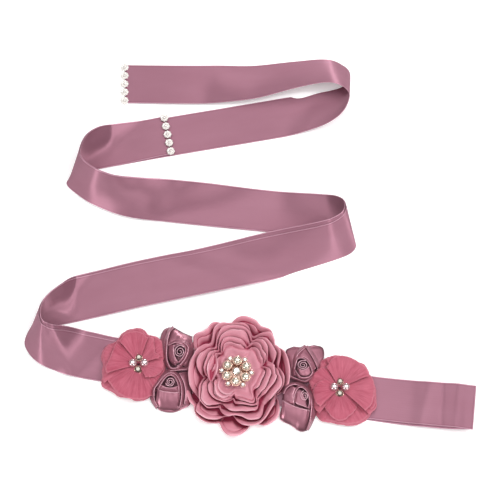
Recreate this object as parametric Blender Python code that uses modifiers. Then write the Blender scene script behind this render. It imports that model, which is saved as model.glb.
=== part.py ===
"""Satin sash: a doubled satin ribbon laid in five stretches, with a spray of cloth flowers.

Run with: blender --background --python part.py, or from Blender's text editor.
Sizes in the tables are millimetres and degrees; every object is made in metres, +Z up.
The origin lies on the table under the big flower's centre, +X along the sash to its
folded end and +Y towards its loose ends.
"""
import math

import bmesh
import bpy
import numpy as np

MM = 0.001

# ---- Driving sizes -------------------------------------------------------------------
RIBBON_WIDTH = 40.0
RIBBON_WALL = 1.0
GAP = 0.3                        # clearance between pieces that touch on the real sash
LAYER = RIBBON_WALL + GAP        # from the middle of one ribbon layer to the next
RIBBON_TOP = 2 * RIBBON_WALL + GAP
STEP_LENGTH = 26.0               # longest step along a straight stretch
STEP_ANGLE = 13.0                # largest turn between two steps, in degrees
FOLD_RADIUS = 3.4                # of the soft fold at the doubled end
FOLD_STEPS = 7

# One row for each section across the ribbon: the near edge's place on the table and its
# lift, the direction in plan and the rise of the line to the far edge, and how far the
# second layer has slipped along that line against the first.
SECTION_COLUMNS = ("name", "x", "y", "lift", "heading", "rise", "slip")
SECTIONS = (
    ("long end", -110, 275.5, 0, 91, 0, 0),
    ("stretch 1", -37, 274, 0, 91, 0, 0),
    ("stretch 1 lifts", 11, 275.5, 8, 91, -12, 0),
    ("stretch 1 climbs", 57, 284.5, 17, 89, -26, 0),
    ("stretch 1 crest", 86, 288, 21, 86, -32, 0),
    ("turn 1 in", 101, 282, 23, 85, -36, 0),
    ("turn 1", 106, 273, 23, 86, -36, 0),
    ("turn 1 out", 100, 259, 19, 87, -29, 0),
    ("stretch 2 falls", 87, 250.5, 12, 90, -18, 0),
    ("stretch 2 settles", 66, 245, 4, 95, -7, 0),
    ("stretch 2 flat", 40, 239.5, 0, 99, 0, 0),
    ("stretch 2", -64, 220.5, 0, 101, 0, 1.5),
    ("stretch 2 rises", -116, 210.5, 0, 97, 13, 0),
    ("turn 2 in", -136, 206.5, 0, 88, 31, 0),
    ("turn 2 leans", -151, 202, 0, 76, 49, 0),
    ("turn 2", -162, 192, 0, 55, 56, 0),
    ("turn 2 out", -153, 182.5, 0, 54, 60, 0),
    ("stretch 3 falls", -129, 169.5, 0, 67, 60, 0),
    ("stretch 3 settles", -97, 158, 0, 80, 44, 0),
    ("stretch 3", -60, 152, 0, 84, 22, 0),
    ("stretch 3 flat", 30, 142.5, 0, 84, 6, 0),
    ("stretch 3 rises", 80, 137.5, 0, 87, 18, 0),
    ("turn 3 in", 102, 135, 0, 98, 34, -1),
    ("turn 3", 109.5, 130.5, 0, 109, 40, -2),
    ("turn 3 out", 104.5, 123, 0, 108, 42, -3),
    ("stretch 4 falls", 87, 115.5, 0, 103, 43, -4),
    ("stretch 4 settles", 50, 104.5, 0, 102, 30, -4),
    ("stretch 4", 0, 92, 0, 103, 10, -4),
    ("stretch 4 flat", -90, 71, 0, 103, 5, -3),
    ("stretch 4 rises", -146, 57, 0, 96, 15, -2),
    ("turn 4 in", -166, 51, 0, 86, 36, 0),
    ("turn 4 leans", -182, 45.5, 0, 75, 53, 1),
    ("turn 4", -195, 36, 0, 56, 54, 2),
    ("turn 4 out", -190, 23, 0, 62, 54, 3),
    ("stretch 5 falls", -172, 9, 0, 85, 42, 4),
    ("stretch 5 settles", -140, -1, 0, 86, 6, 4),
    ("stretch 5", -60, -12.5, 0, 82, 0, 2),
    ("stretch 5 flat", 110, -37.5, 0, 82, 0, -1),
    ("stretch 5 lifts", 160, -44, 2, 82, 2, -2),
    ("fold in", 192, -47.5, 5, 83, 5, -2),
    ("fold", 209, -50, 6, 84, 6, 0),
)
SHORT_END = "stretch 2"          # the section where the second layer's loose end lies

# The scalloped stones sewn along both loose ends of the ribbon.
END_STONES = 5
END_STONE_DIAMETER = 8.2
END_STONE_HEIGHT = 3.0
END_STONE_PITCH = 8.8

# The big flower: rings of petals about the origin, innermost first. The table gives each
# ring's rim radius every fifteen degrees, from +X round towards +Y.
PETAL_WALL = 1.0
PETAL_INNER_RADIUS = 8.0
PETAL_CURL = 3.6                 # the power of the curve from the sewn middle to the rim
PETAL_MIN_GAP = 3.0              # between the rims of neighbouring rings
RING_COLUMNS = ("name", "sewn height", "rim height")
RINGS = (
    ("petals_1", 12.2, 16.5),
    ("petals_2", 10.2, 18.0),
    ("petals_3", 8.2, 17.5),
    ("petals_4", 6.2, 14.0),
    ("petals_5", 4.2, 9.5),
)
RIM_COLUMNS = ("angle", "petals_1", "petals_2", "petals_3", "petals_4", "petals_5")
RIMS = (
    (0, 24.5, 30, 37, 42.5, 48), (15, 25.5, 31, 38, 44.5, 48), (30, 27, 32.5, 40, 46, 48),
    (45, 29, 32.5, 40.5, 46.5, 48.5), (60, 29, 35, 39, 47, 51.5), (75, 28.5, 35, 40.5, 45.5, 55),
    (90, 29, 36, 43.5, 47, 55.5), (105, 31, 36, 42.5, 48.5, 52.5), (120, 29, 34.5, 38.5, 46, 54),
    (135, 26, 33.5, 38, 45.5, 54.5), (150, 25, 32, 39, 43, 49), (165, 24, 31, 38.5, 44, 46),
    (180, 24, 30, 36, 44, 47), (195, 23, 27.5, 36.5, 44, 48), (210, 24, 30, 39.5, 43.5, 50.5),
    (225, 26, 31, 39.5, 47.5, 54), (240, 26, 29.5, 36, 47.5, 53.5), (255, 23.5, 30, 38.5, 44, 55.5),
    (270, 23.5, 28, 38.5, 44.5, 58.5), (285, 26, 29.5, 37.5, 47.5, 52), (300, 28.5, 32, 36.5, 47, 54),
    (315, 25, 33.5, 37, 44, 53.5), (330, 22.5, 34, 38, 42, 47), (345, 23, 33, 39.5, 44.5, 46.5),
)

# The brooch on the big flower: pearls and stones in a metal setting.
BROOCH_CENTRE = (-1.2, 0.3)
BROOCH_BASE = 13.3               # height of the setting's underside
BROOCH_PLATE = (11.6, 14.2, 1.4)         # radius, reach of its six points, thickness
BROOCH_PEARLS = (6, 9.9, 8.4, 87.0)      # how many, ring radius, diameter, first angle
BROOCH_STONES = (6, 14.6, 4.4, 117.0)
BROOCH_MIDDLE = 7.6              # diameter of the middle stone

# The chiffon flowers: centre, the rim's radius every fifteen degrees, and the beads.
CHIFFON_WALL = 1.0
CHIFFON_MIDDLE = 2.0             # radius where the petals meet under the beads
CHIFFON_LAYERS = (               # share of the outline, heights of the middle, belly and rim
    (1.0, 3.3, 5.8, 7.0),
    (0.86, 5.0, 8.8, 10.0),
)
CHIFFON_FLOWERS = (
    ("chiffon_left", -91.0, 11.0,
     (24.6, 24.8, 25.5, 27.5, 29.5, 31, 35.5, 35.5, 33.5, 31.8, 35.5, 35.7,
      32.8, 34.7, 38.5, 35, 34.5, 32.5, 34, 32, 26, 21.5, 21, 24)),
    ("chiffon_right", 92.8, -11.8,
     (33, 32, 31.3, 32.5, 30.5, 30.9, 31.5, 32.7, 29, 23, 23, 25.5,
      25.6, 24, 23.5, 25.5, 33, 32.7, 33.3, 35.5, 37, 37, 37.5, 34.5)),
)
BEAD_COLUMNS = ("name", "across", "away", "diameter", "is pearl")
CHIFFON_BEADS = (
    ("bead_left", -5.2, 0.4, 7.6, True),
    ("bead_right", 5.6, 0.4, 7.6, True),
    ("bead_far", 0.3, 6.0, 6.2, False),
    ("bead_near", -0.2, -5.6, 6.6, False),
)

# The satin rosettes: the middle of the roll, its size, and the outline of the folds round it.
ROSETTE_WALL = 1.2
ROSETTE_TOP = 13.0
ROLL_TURNS = 2.2
ROLL_HEIGHT = 7.0
ROSETTES = (
    ("rosette_far_left", (-54.0, 23.0), (7.0, 9.5), 15.0,
     ((-42.5, 36), (-50, 41), (-58.5, 46.5), (-64.5, 42), (-65.5, 33), (-65.6, 22),
      (-64.5, 13), (-61, 8.4), (-52, 7.4), (-44.5, 7.4), (-43, 16), (-42.5, 26))),
    ("rosette_near_left", (-61.5, -7.0), (7.6, 8.0), 195.0,
     ((-44.6, 3.6), (-53, 4.4), (-62, 3.4), (-69, -2), (-74.5, -10), (-76.3, -19),
      (-74.5, -27), (-71, -31), (-59.5, -33), (-50, -29.5), (-43.5, -25), (-44, -10))),
    ("rosette_far_right", (59.5, 10.5), (6.8, 8.6), 60.0,
     ((46.8, 3.2), (46.6, 14), (45.5, 24), (53, 27), (61.5, 30), (70, 28.5), (77, 26.5),
      (78, 20.4), (70.5, 10), (66.5, 2), (60.5, -3.2), (52, -1.6))),
    ("rosette_near_right", (56.0, -18.5), (6.2, 7.8), 100.0,
     ((43.5, -12), (50, -6.4), (57, -6.6), (64.6, -12.6), (67.2, -24), (68.6, -34),
      (66, -43), (61.5, -50), (56, -50.5), (48, -45), (38.5, -39), (40.5, -26))),
)

# ---- Collection, materials and small helpers -----------------------------------------
for old in list(bpy.data.objects):
    bpy.data.objects.remove(old, do_unlink=True)

collection = bpy.data.collections.new("satin_sash")
bpy.context.scene.collection.children.link(collection)
root = bpy.data.objects.new("satin_sash_root", None)
collection.objects.link(root)


def finish(name, color, roughness, metallic=0.0, sheen=0.0):
    """A Principled material of one plain colour."""
    material = bpy.data.materials.new(name)
    material.use_nodes = True
    shader = material.node_tree.nodes["Principled BSDF"]
    shader.inputs["Base Color"].default_value = (*color, 1.0)
    shader.inputs["Roughness"].default_value = roughness
    shader.inputs["Metallic"].default_value = metallic
    shader.inputs["Sheen Weight"].default_value = sheen
    return material


SATIN = finish("ribbon_satin", (0.44, 0.20, 0.26), 0.35, sheen=0.2)
PETAL = finish("petal_satin", (0.62, 0.25, 0.32), 0.55, sheen=0.4)
CHIFFON = finish("chiffon", (0.57, 0.13, 0.20), 0.80, sheen=0.5)
PEARL = finish("pearl", (0.87, 0.78, 0.66), 0.20)
CRYSTAL = finish("crystal", (0.86, 0.86, 0.84), 0.08, metallic=0.4)
SILVER = finish("silver_setting", (0.62, 0.56, 0.48), 0.25, metallic=1.0)


def add_object(name, mesh, material):
    """Links a mesh as a named object of the sash."""
    mesh.materials.append(material)
    thing = bpy.data.objects.new(name, mesh)
    thing.parent = root
    collection.objects.link(thing)
    return thing


def add_sheet(name, rows, wall, material, around=False):
    """Cloth: a grid of points (sections, points across, xyz), thickened by Solidify.

    With around set, the last section joins the first, as in a ring of petals.
    """
    rows = np.asarray(rows, float)
    count, across = rows.shape[:2]
    corner = np.arange(count * across).reshape(count, across)
    if around:
        corner = np.vstack([corner, corner[:1]])
    quads = np.stack([corner[:-1, :-1], corner[1:, :-1], corner[1:, 1:], corner[:-1, 1:]], -1)
    mesh = bpy.data.meshes.new(name)
    mesh.from_pydata((rows.reshape(-1, 3) * MM).tolist(), [], quads.reshape(-1, 4).tolist())
    mesh.shade_smooth()
    thing = add_object(name, mesh, material)
    solid = thing.modifiers.new("cloth wall", "SOLIDIFY")
    solid.thickness = wall * MM
    solid.offset = 0.0
    return thing


def unit(vectors):
    return vectors / np.linalg.norm(vectors, axis=-1, keepdims=True)


def polar(radius, angle):
    """x and y of a radius and an angle in radians."""
    return radius * np.cos(angle), radius * np.sin(angle)


# ---- Ribbon --------------------------------------------------------------------------
def hermite(rows, row_at, at):
    """A smooth curve through the rows, its slopes taken from each row's neighbours.

    A value that two rows in turn share is held level between them, so a flat stretch is flat."""
    slope = np.gradient(rows, axis=0) / np.gradient(row_at)[:, None]
    held = np.diff(rows, axis=0) == 0.0
    slope[1:][held] = 0.0
    slope[:-1][held] = 0.0
    k = np.clip(np.searchsorted(row_at, at, side="right") - 1, 0, len(rows) - 2)
    length = (row_at[k + 1] - row_at[k])[:, None]
    u = (at[:, None] - row_at[k][:, None]) / length
    return (rows[k] * (2 * u**3 - 3 * u**2 + 1) + slope[k] * length * (u**3 - 2 * u**2 + u)
            + rows[k + 1] * (3 * u**2 - 2 * u**3) + slope[k + 1] * length * (u**3 - u**2))


def section_lines(rows):
    """The near edge's points and the unit lines that run from them to the far edge."""
    heading, rise = np.radians(rows[:, 3]), np.radians(rows[:, 4])
    line = np.stack([np.cos(rise) * np.cos(heading), np.cos(rise) * np.sin(heading), np.sin(rise)], -1)
    return rows[:, :3], line


def path_lengths(points):
    return np.concatenate([[0.0], np.cumsum(np.linalg.norm(np.diff(points, axis=0), axis=1))])


def ribbon_sections():
    """Sections of the first layer, close together in the turns and wide apart between them."""
    table = np.array([row[1:] for row in SECTIONS], float)
    near, line = section_lines(table)
    row_at = path_lengths(near + line * RIBBON_WIDTH / 2)
    dense_at = np.linspace(0.0, row_at[-1], 1600)
    near, line = section_lines(hermite(table, row_at, dense_at))
    along = unit(np.gradient(near + line * RIBBON_WIDTH / 2, axis=0))
    bend = np.degrees(np.linalg.norm(np.diff(along, axis=0), axis=1)
                      + np.linalg.norm(np.diff(line, axis=0), axis=1))
    effort = np.concatenate([[0.0], np.cumsum(np.diff(dense_at) / STEP_LENGTH + bend / STEP_ANGLE)])
    steps = int(effort[-1]) + 1
    at = np.interp(np.linspace(0.0, effort[-1], steps), effort, dense_at)
    names = [row[0] for row in SECTIONS]
    short_at = row_at[names.index(SHORT_END)]
    at[np.argmin(abs(at - short_at))] = short_at
    return hermite(table, row_at, at), at >= short_at


def ribbon_layers():
    """Near edge, line and face normal of both layers; the under one lies on the table."""
    rows, doubled = ribbon_sections()
    near, line = section_lines(rows)
    along = unit(np.gradient(near + line * RIBBON_WIDTH / 2, axis=0))
    normal = unit(np.cross(along, line))
    level = np.cos(np.radians(rows[:, 4]))
    near = near.copy()
    near[:, 2] += RIBBON_WALL / 2 * level + LAYER * doubled * np.clip(normal[:, 2], 0.0, None)
    second = near - LAYER * normal + line * rows[:, 5:6]
    return near, second, line, normal, doubled


def fold_sections(near, second, line, normal):
    """The soft fold from the first layer's last section round to the second layer's."""
    middle = (near[-1] + second[-1]) / 2
    out = unit(np.cross(line[-1], normal[-1]))
    turn = np.linspace(0.0, math.pi, FOLD_STEPS + 2)[1:-1, None]
    half = (near[-1] - second[-1]) / 2
    return middle + half * np.cos(turn) + out * FOLD_RADIUS * np.sin(turn)


def make_ribbon():
    """One strip: out along the first layer, round the fold and back along the second."""
    near, second, line, normal, doubled = ribbon_layers()
    # the loop between the layers opens towards the fold, where the under layer stays down
    under = second.copy()
    under[:, 2] = np.minimum(under[:, 2], np.where(near[:, 0] > 120, RIBBON_WALL / 2, 1e9))
    fold = fold_sections(near, under, line, normal)
    back = np.flatnonzero(doubled)[::-1]
    edge = np.vstack([near, fold, under[back]])
    lines = np.vstack([line, np.repeat(line[-1:], len(fold), axis=0), line[back]])
    across = np.array([0.0, 0.5, 1.0]) * RIBBON_WIDTH
    rows = edge[:, None, :] + lines[:, None, :] * across[None, :, None]
    return add_sheet("ribbon", rows, RIBBON_WALL, SATIN)


make_ribbon()


# ---- Round pieces ----------------------------------------------------------------------
def add_turned(name, profile, place, material, sides=16, smooth=True, reach=None):
    """A solid of revolution about a vertical line, from a profile of (radius, height).

    With reach given, one share for each side, the radii are stretched by it.
    """
    mesh = bpy.data.meshes.new(name)
    shape = bmesh.new()
    angles = np.linspace(0.0, 2 * math.pi, sides, endpoint=False)
    reach = np.ones(sides) if reach is None else reach
    loops = []
    for radius, height in profile:
        if radius == 0:
            loops.append([shape.verts.new((0.0, 0.0, height * MM))])
        else:
            loops.append([shape.verts.new((radius * MM * far * math.cos(a),
                                           radius * MM * far * math.sin(a), height * MM))
                          for a, far in zip(angles, reach)])
    for lower, upper in zip(loops[:-1], loops[1:]):
        for k in range(sides):
            corners = [lower[k % len(lower)], lower[(k + 1) % len(lower)],
                       upper[(k + 1) % len(upper)], upper[k % len(upper)]]
            shape.faces.new(list(dict.fromkeys(corners)))
    for vert in shape.verts:
        vert.co.x += place[0] * MM
        vert.co.y += place[1] * MM
        vert.co.z += place[2] * MM
    shape.to_mesh(mesh)
    shape.free()
    for face in mesh.polygons:
        face.use_smooth = smooth
    return add_object(name, mesh, material)


def add_bead(name, diameter, place, material, sides=12, rings=7):
    """A round bead, its place being its middle."""
    angle = np.linspace(-math.pi / 2, math.pi / 2, rings)
    radius = diameter / 2 * np.cos(angle)
    radius[[0, -1]] = 0.0
    profile = list(zip(radius.tolist(), (diameter / 2 * np.sin(angle)).tolist()))
    return add_turned(name, profile, place, material, sides)


def add_stone(name, diameter, height, place, material, sides=8):
    """A faceted stone with a table on top, a girdle and a narrow foot; its place is its foot."""
    half = diameter / 2
    profile = ((0, 0), (half * 0.62, 0), (half, height * 0.45), (half * 0.86, height * 0.72),
               (half * 0.5, height), (0, height))
    return add_turned(name, profile, place, material, sides, smooth=False)


def make_end_stones():
    """A row of stones across each loose end, on top of the ribbon."""
    near, second, line, _, doubled = ribbon_layers()
    short = np.flatnonzero(doubled)[0]
    ends = (("long", near[0], line[0], 0.0), ("short", second[short], line[short], 0.0))
    for name, start, across, _ in ends:
        for k in range(END_STONES):
            along = RIBBON_WIDTH / 2 + (k - (END_STONES - 1) / 2) * END_STONE_PITCH
            x, y, z = start + across * along
            add_stone(f"{name}_end_stone_{k + 1}", END_STONE_DIAMETER, END_STONE_HEIGHT,
                      (x, y, z + RIBBON_WALL / 2 + GAP), CRYSTAL, sides=10)


make_end_stones()


# ---- Big flower ------------------------------------------------------------------------
def around(values, count):
    """Values given every fifteen degrees, read smoothly at count even angles."""
    values = np.asarray(values, float)
    size = len(values)
    padded = np.concatenate([values[-2:], values, values[:3]])
    at = np.arange(count) * size / count
    k = at.astype(int)
    u = at - k
    a, b, c, d = (padded[k + j + 1] for j in range(4))
    return b + 0.5 * u * (c - a + u * (2 * a - 5 * b + 4 * c - d + u * (3 * (b - c) + d - a)))


def make_petals():
    """Nested rings of petals, each flat where it is sewn and curling up at its rim."""
    count = 48
    angle = np.arange(count) * 2 * math.pi / count
    table = np.array(RIMS, float)
    rim = np.zeros(count)
    share = np.array([0.0, 0.45, 0.72, 0.88, 1.0])
    for k, (name, sewn, top) in enumerate(RINGS):
        wanted = around(table[:, k + 1], count)
        rim = np.maximum(wanted, rim + PETAL_MIN_GAP) if k else wanted
        radius = PETAL_INNER_RADIUS + (rim[:, None] - PETAL_INNER_RADIUS) * share
        height = sewn + (top - sewn) * share ** PETAL_CURL
        x, y = polar(radius, angle[:, None])
        rows = np.stack([x, y, np.broadcast_to(height, x.shape)], -1)
        add_sheet(name, rows, PETAL_WALL, PETAL, around=True)


make_petals()


def make_brooch():
    """A metal plate carrying a ring of pearls, a ring of stones and a middle stone."""
    x, y = BROOCH_CENTRE
    radius, point, thick = BROOCH_PLATE
    count, _, _, first = BROOCH_STONES
    around_plate = np.arange(36) * 2 * math.pi / 36 - math.radians(first)
    points = np.clip(np.cos(count * around_plate), 0.0, None)
    add_turned("brooch_setting", ((0, 0), (radius, 0), (radius, thick), (0, thick)),
               (x, y, BROOCH_BASE), SILVER, sides=36, smooth=False,
               reach=1 + (point / radius - 1) * points)
    top = BROOCH_BASE + thick + GAP
    for label, (count, ring, size, first) in (("pearl", BROOCH_PEARLS), ("stone", BROOCH_STONES)):
        for k in range(count):
            dx, dy = polar(ring, math.radians(first + k * 360 / count))
            name = f"brooch_{label}_{k + 1}"
            if label == "pearl":
                add_bead(name, size, (x + dx, y + dy, top + size / 2), PEARL)
            else:
                add_stone(name, size, 2.6, (x + dx, y + dy, top), CRYSTAL)
    add_stone("brooch_middle_stone", BROOCH_MIDDLE, 4.0, (x, y, top), CRYSTAL, sides=10)


make_brooch()


# ---- Chiffon flowers -------------------------------------------------------------------
def make_chiffon(name, x, y, rims):
    """Two layers of chiffon petals over each other, with four beads in the middle."""
    count = 36
    angle = np.arange(count) * 2 * math.pi / count
    rim = around(rims, count)
    share = np.array([0.0, 0.35, 0.7, 1.0])
    for k, (size, middle, belly, top) in enumerate(CHIFFON_LAYERS):
        radius = CHIFFON_MIDDLE + (rim[:, None] * size - CHIFFON_MIDDLE) * share
        height = np.array([middle, (middle + belly) / 2, belly, top])
        px, py = polar(radius, angle[:, None])
        rows = np.stack([x + px, y + py, np.broadcast_to(height, px.shape)], -1)
        add_sheet(f"{name}_layer_{k + 1}", rows, CHIFFON_WALL, CHIFFON, around=True)
    clear = CHIFFON_WALL / 2 + GAP
    for label, dx, dy, size, pearl in CHIFFON_BEADS:
        away = math.hypot(dx, dy)
        reach = away if pearl else away + size * 0.31
        side = round(math.atan2(dy, dx) / (2 * math.pi) * count)
        edge = rim[(side + np.arange(-1, 2)) % count].min() * CHIFFON_LAYERS[-1][0]
        floor = np.interp((reach - CHIFFON_MIDDLE) / (edge - CHIFFON_MIDDLE), share, height)
        if pearl:
            add_bead(f"{name}_{label}", size, (x + dx, y + dy, floor + clear + size / 2 + 0.1), PEARL)
        else:
            add_stone(f"{name}_{label}", size, size * 0.62, (x + dx, y + dy, floor + clear), CRYSTAL)


for flower in CHIFFON_FLOWERS:
    make_chiffon(*flower)


# ---- Rosettes --------------------------------------------------------------------------
def make_rosette(name, middle, roll, start, outline):
    """The folded cloth round the roll, and the roll itself: a spiral band on edge."""
    middle = np.array(middle)
    outline = np.array(outline, float)
    edge = np.stack([around(outline[:, axis], len(outline) * 20) for axis in (0, 1)], -1)
    bearing = np.arctan2(edge[:, 1] - middle[1], edge[:, 0] - middle[0])
    angle = np.linspace(-math.pi, math.pi, 36, endpoint=False)
    rim = np.stack([np.interp(angle, bearing[np.argsort(bearing)], edge[np.argsort(bearing), axis],
                              period=2 * math.pi) for axis in (0, 1)], -1)
    inner = middle + np.stack([(roll[0] + 1.4) * np.cos(angle), (roll[1] + 1.4) * np.sin(angle)], -1)
    share = np.array([0.0, 0.14, 0.4, 0.75, 1.0])
    height = np.array([3.2, 3.2, 6.0, 9.4, ROSETTE_TOP - 1.0])
    flat = rim[:, None, :] + (inner - rim)[:, None, :] * share[None, :, None]
    rows = np.concatenate([flat, np.broadcast_to(height[None, :, None], (*flat.shape[:2], 1))], -1)
    add_sheet(f"{name}_folds", rows[:, ::-1], ROSETTE_WALL, SATIN, around=True)

    steps = int(ROLL_TURNS * 14) + 1
    turn = np.linspace(0.0, ROLL_TURNS * 2 * math.pi, steps)
    reach = 0.16 + 0.84 * turn / turn[-1]
    spin = turn + math.radians(start)
    bottom = np.stack([middle[0] + (roll[0] - 0.1) * reach * np.cos(spin),
                       middle[1] + (roll[1] - 0.1) * reach * np.sin(spin),
                       np.full(steps, ROSETTE_TOP - ROLL_HEIGHT)], -1)
    rows = np.stack([bottom, bottom + (0.0, 0.0, ROLL_HEIGHT)], 1)
    add_sheet(f"{name}_roll", rows, ROSETTE_WALL, SATIN)


for rosette in ROSETTES:
    make_rosette(*rosette)
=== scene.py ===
# %% [markdown]
# # Satin sash with cloth flowers
#
# The real piece is a bridal or flower-girl sash: some 2.7 m of 40 mm double-faced satin ribbon,
# doubled for more than half of its length, with a spray of cloth flowers stitched over the front
# stretch. Here it lies zigzag on a table. The CAD gives every piece its place and size. This
# script gives each one the look of cloth, pearl or stone, on the same forms.

# %% The frame
import math
from functools import partial

import bpy
import numpy as np
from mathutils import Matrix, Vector


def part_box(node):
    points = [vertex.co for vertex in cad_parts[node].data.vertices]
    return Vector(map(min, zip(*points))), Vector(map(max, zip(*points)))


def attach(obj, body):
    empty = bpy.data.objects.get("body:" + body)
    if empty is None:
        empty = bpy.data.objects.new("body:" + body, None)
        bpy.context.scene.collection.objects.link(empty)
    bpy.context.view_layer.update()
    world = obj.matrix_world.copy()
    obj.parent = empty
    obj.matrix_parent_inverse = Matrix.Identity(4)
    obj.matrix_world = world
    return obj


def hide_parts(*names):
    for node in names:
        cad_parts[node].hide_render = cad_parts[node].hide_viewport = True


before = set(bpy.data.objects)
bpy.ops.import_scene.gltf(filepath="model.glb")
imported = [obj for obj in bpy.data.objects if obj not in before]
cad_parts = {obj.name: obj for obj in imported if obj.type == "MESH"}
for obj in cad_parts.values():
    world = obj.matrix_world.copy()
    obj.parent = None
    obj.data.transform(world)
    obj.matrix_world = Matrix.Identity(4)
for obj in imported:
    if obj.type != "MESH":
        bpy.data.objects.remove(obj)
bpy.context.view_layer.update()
scene = bpy.context.scene
MM = 0.001
print("CAD nodes:", len(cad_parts))

# %% [markdown]
# ## Small helpers
#
# Colours are written as sRGB codes and turned to linear light in one place. Patterns are given in
# millimetres. Shapes are grids of points, worked out with whole arrays.

# %% Colours and nodes
def linear(code):
    """Linear colour of an sRGB code: a value under 0.04045 is divided by 12.92, and any other is
    ((value + 0.055) / 1.055) to the power 2.4."""
    value = np.array([int(code[i:i + 2], 16) / 255 for i in (1, 3, 5)])
    low = value <= 0.04045
    return (*np.where(low, value / 12.92, ((value + 0.055) / 1.055) ** 2.4).tolist(), 1.0)


def add_node(tree, kind, inputs=None, **settings):
    """Adds a shader node. inputs maps a socket's name or number to a value or to the socket that
    feeds it, and settings are the node's own properties."""
    made = tree.nodes.new("ShaderNode" + kind)
    for key, value in settings.items():
        setattr(made, key, value)
    for key, value in (inputs or {}).items():
        if isinstance(value, bpy.types.NodeSocket):
            tree.links.new(value, made.inputs[key])
        else:
            made.inputs[key].default_value = value
    return made


def new_material(name):
    """A material with no nodes yet, and its node tree."""
    material = bpy.data.materials.new(name)
    material.use_nodes = True
    material.node_tree.nodes.clear()
    return material, material.node_tree


def per_metre(size):
    """A pattern's scale from its real size in millimetres: how often it repeats in a metre."""
    return 1000.0 / size


# %% Curves and waves
def unit(vectors):
    """Vectors divided by their lengths."""
    return vectors / np.maximum(np.linalg.norm(vectors, axis=-1, keepdims=True), 1e-12)


def smooth(value, low, high):
    """0 below low, 1 above high, and 3t^2 - 2t^3 between them."""
    t = np.clip((value - low) / (high - low), 0.0, 1.0)
    return t * t * (3 - 2 * t)


def hermite(rows, row_at, at):
    """A smooth curve through the rows: cubic pieces whose slopes come from each row's neighbours.
    A value that two rows in turn share is held level between them."""
    rows, row_at, at = (np.asarray(a, float) for a in (rows, row_at, at))
    slope = np.gradient(rows, axis=0) / np.gradient(row_at)[:, None]
    held = np.diff(rows, axis=0) == 0.0
    slope[1:][held] = 0.0
    slope[:-1][held] = 0.0
    k = np.clip(np.searchsorted(row_at, at, side="right") - 1, 0, len(rows) - 2)
    length = (row_at[k + 1] - row_at[k])[:, None]
    u = (at[:, None] - row_at[k][:, None]) / length
    return (rows[k] * (2 * u**3 - 3 * u**2 + 1) + slope[k] * length * (u**3 - 2 * u**2 + u)
            + rows[k + 1] * (3 * u**2 - 2 * u**3) + slope[k + 1] * length * (u**3 - u**2))


def along(points):
    """Distance along a line of points, from its first."""
    return np.concatenate([[0.0], np.cumsum(np.linalg.norm(np.diff(points, axis=0), axis=-1))])


def round_table(pairs, angle):
    """A value given at some angles in degrees, read at any angle by a closed smooth curve."""
    at, value = np.array(pairs, float).T
    at = np.concatenate([at[-3:] - 360, at, at[:3] + 360])
    value = np.concatenate([value[-3:], value, value[:3]])
    return hermite(value[:, None], at, np.ravel(np.mod(angle, 360.0)))[:, 0].reshape(np.shape(angle))


def rough(x, y, seed):
    """A slow uneven wave between about -1 and 1: four sines whose lengths don't divide."""
    return (np.sin(x * 1.0 + 2.1 * seed + 1.3 * np.sin(0.7 * y + seed))
            + np.sin(0.63 * x - 0.9 * y + 4.7 * seed) + 0.6 * np.sin(1.9 * x + 1.4 * y + 1.9 * seed)
            + 0.5 * np.sin(-2.7 * x + 2.3 * y + 3.1 * seed)) / 3.1


# %% Places
VIEW_SLOPE = 0.364               # tan 20 degrees: how far a raised rim appears behind its place


def lean(y, z, level):
    """y of a point at height z that a viewer at VIEW_SLOPE sees where y lies on the level: it comes
    toward the viewer by the slope times its height over the level."""
    return y - VIEW_SLOPE * (z - level)


def polar_grid(r, bearing, z, centre=(0.0, 0.0)):
    """Points at radius r, a bearing in degrees for each row, and height z, round a centre."""
    turn = np.radians(bearing)[:, None]
    return np.stack([centre[0] + r * np.cos(turn), centre[1] + r * np.sin(turn), z], -1)


# %% [markdown]
# ## Shells
#
# Each piece of cloth is a thin closed body. Its cross-section is a loop: the upper face, an edge
# point, the under face and the other edge point. Carried along the grid, the loop leaves no open
# edge. Solidify could thicken a plain sheet too, but here walls and rim values differ from point to
# point, and they come from the same arrays as the shape.

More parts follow.
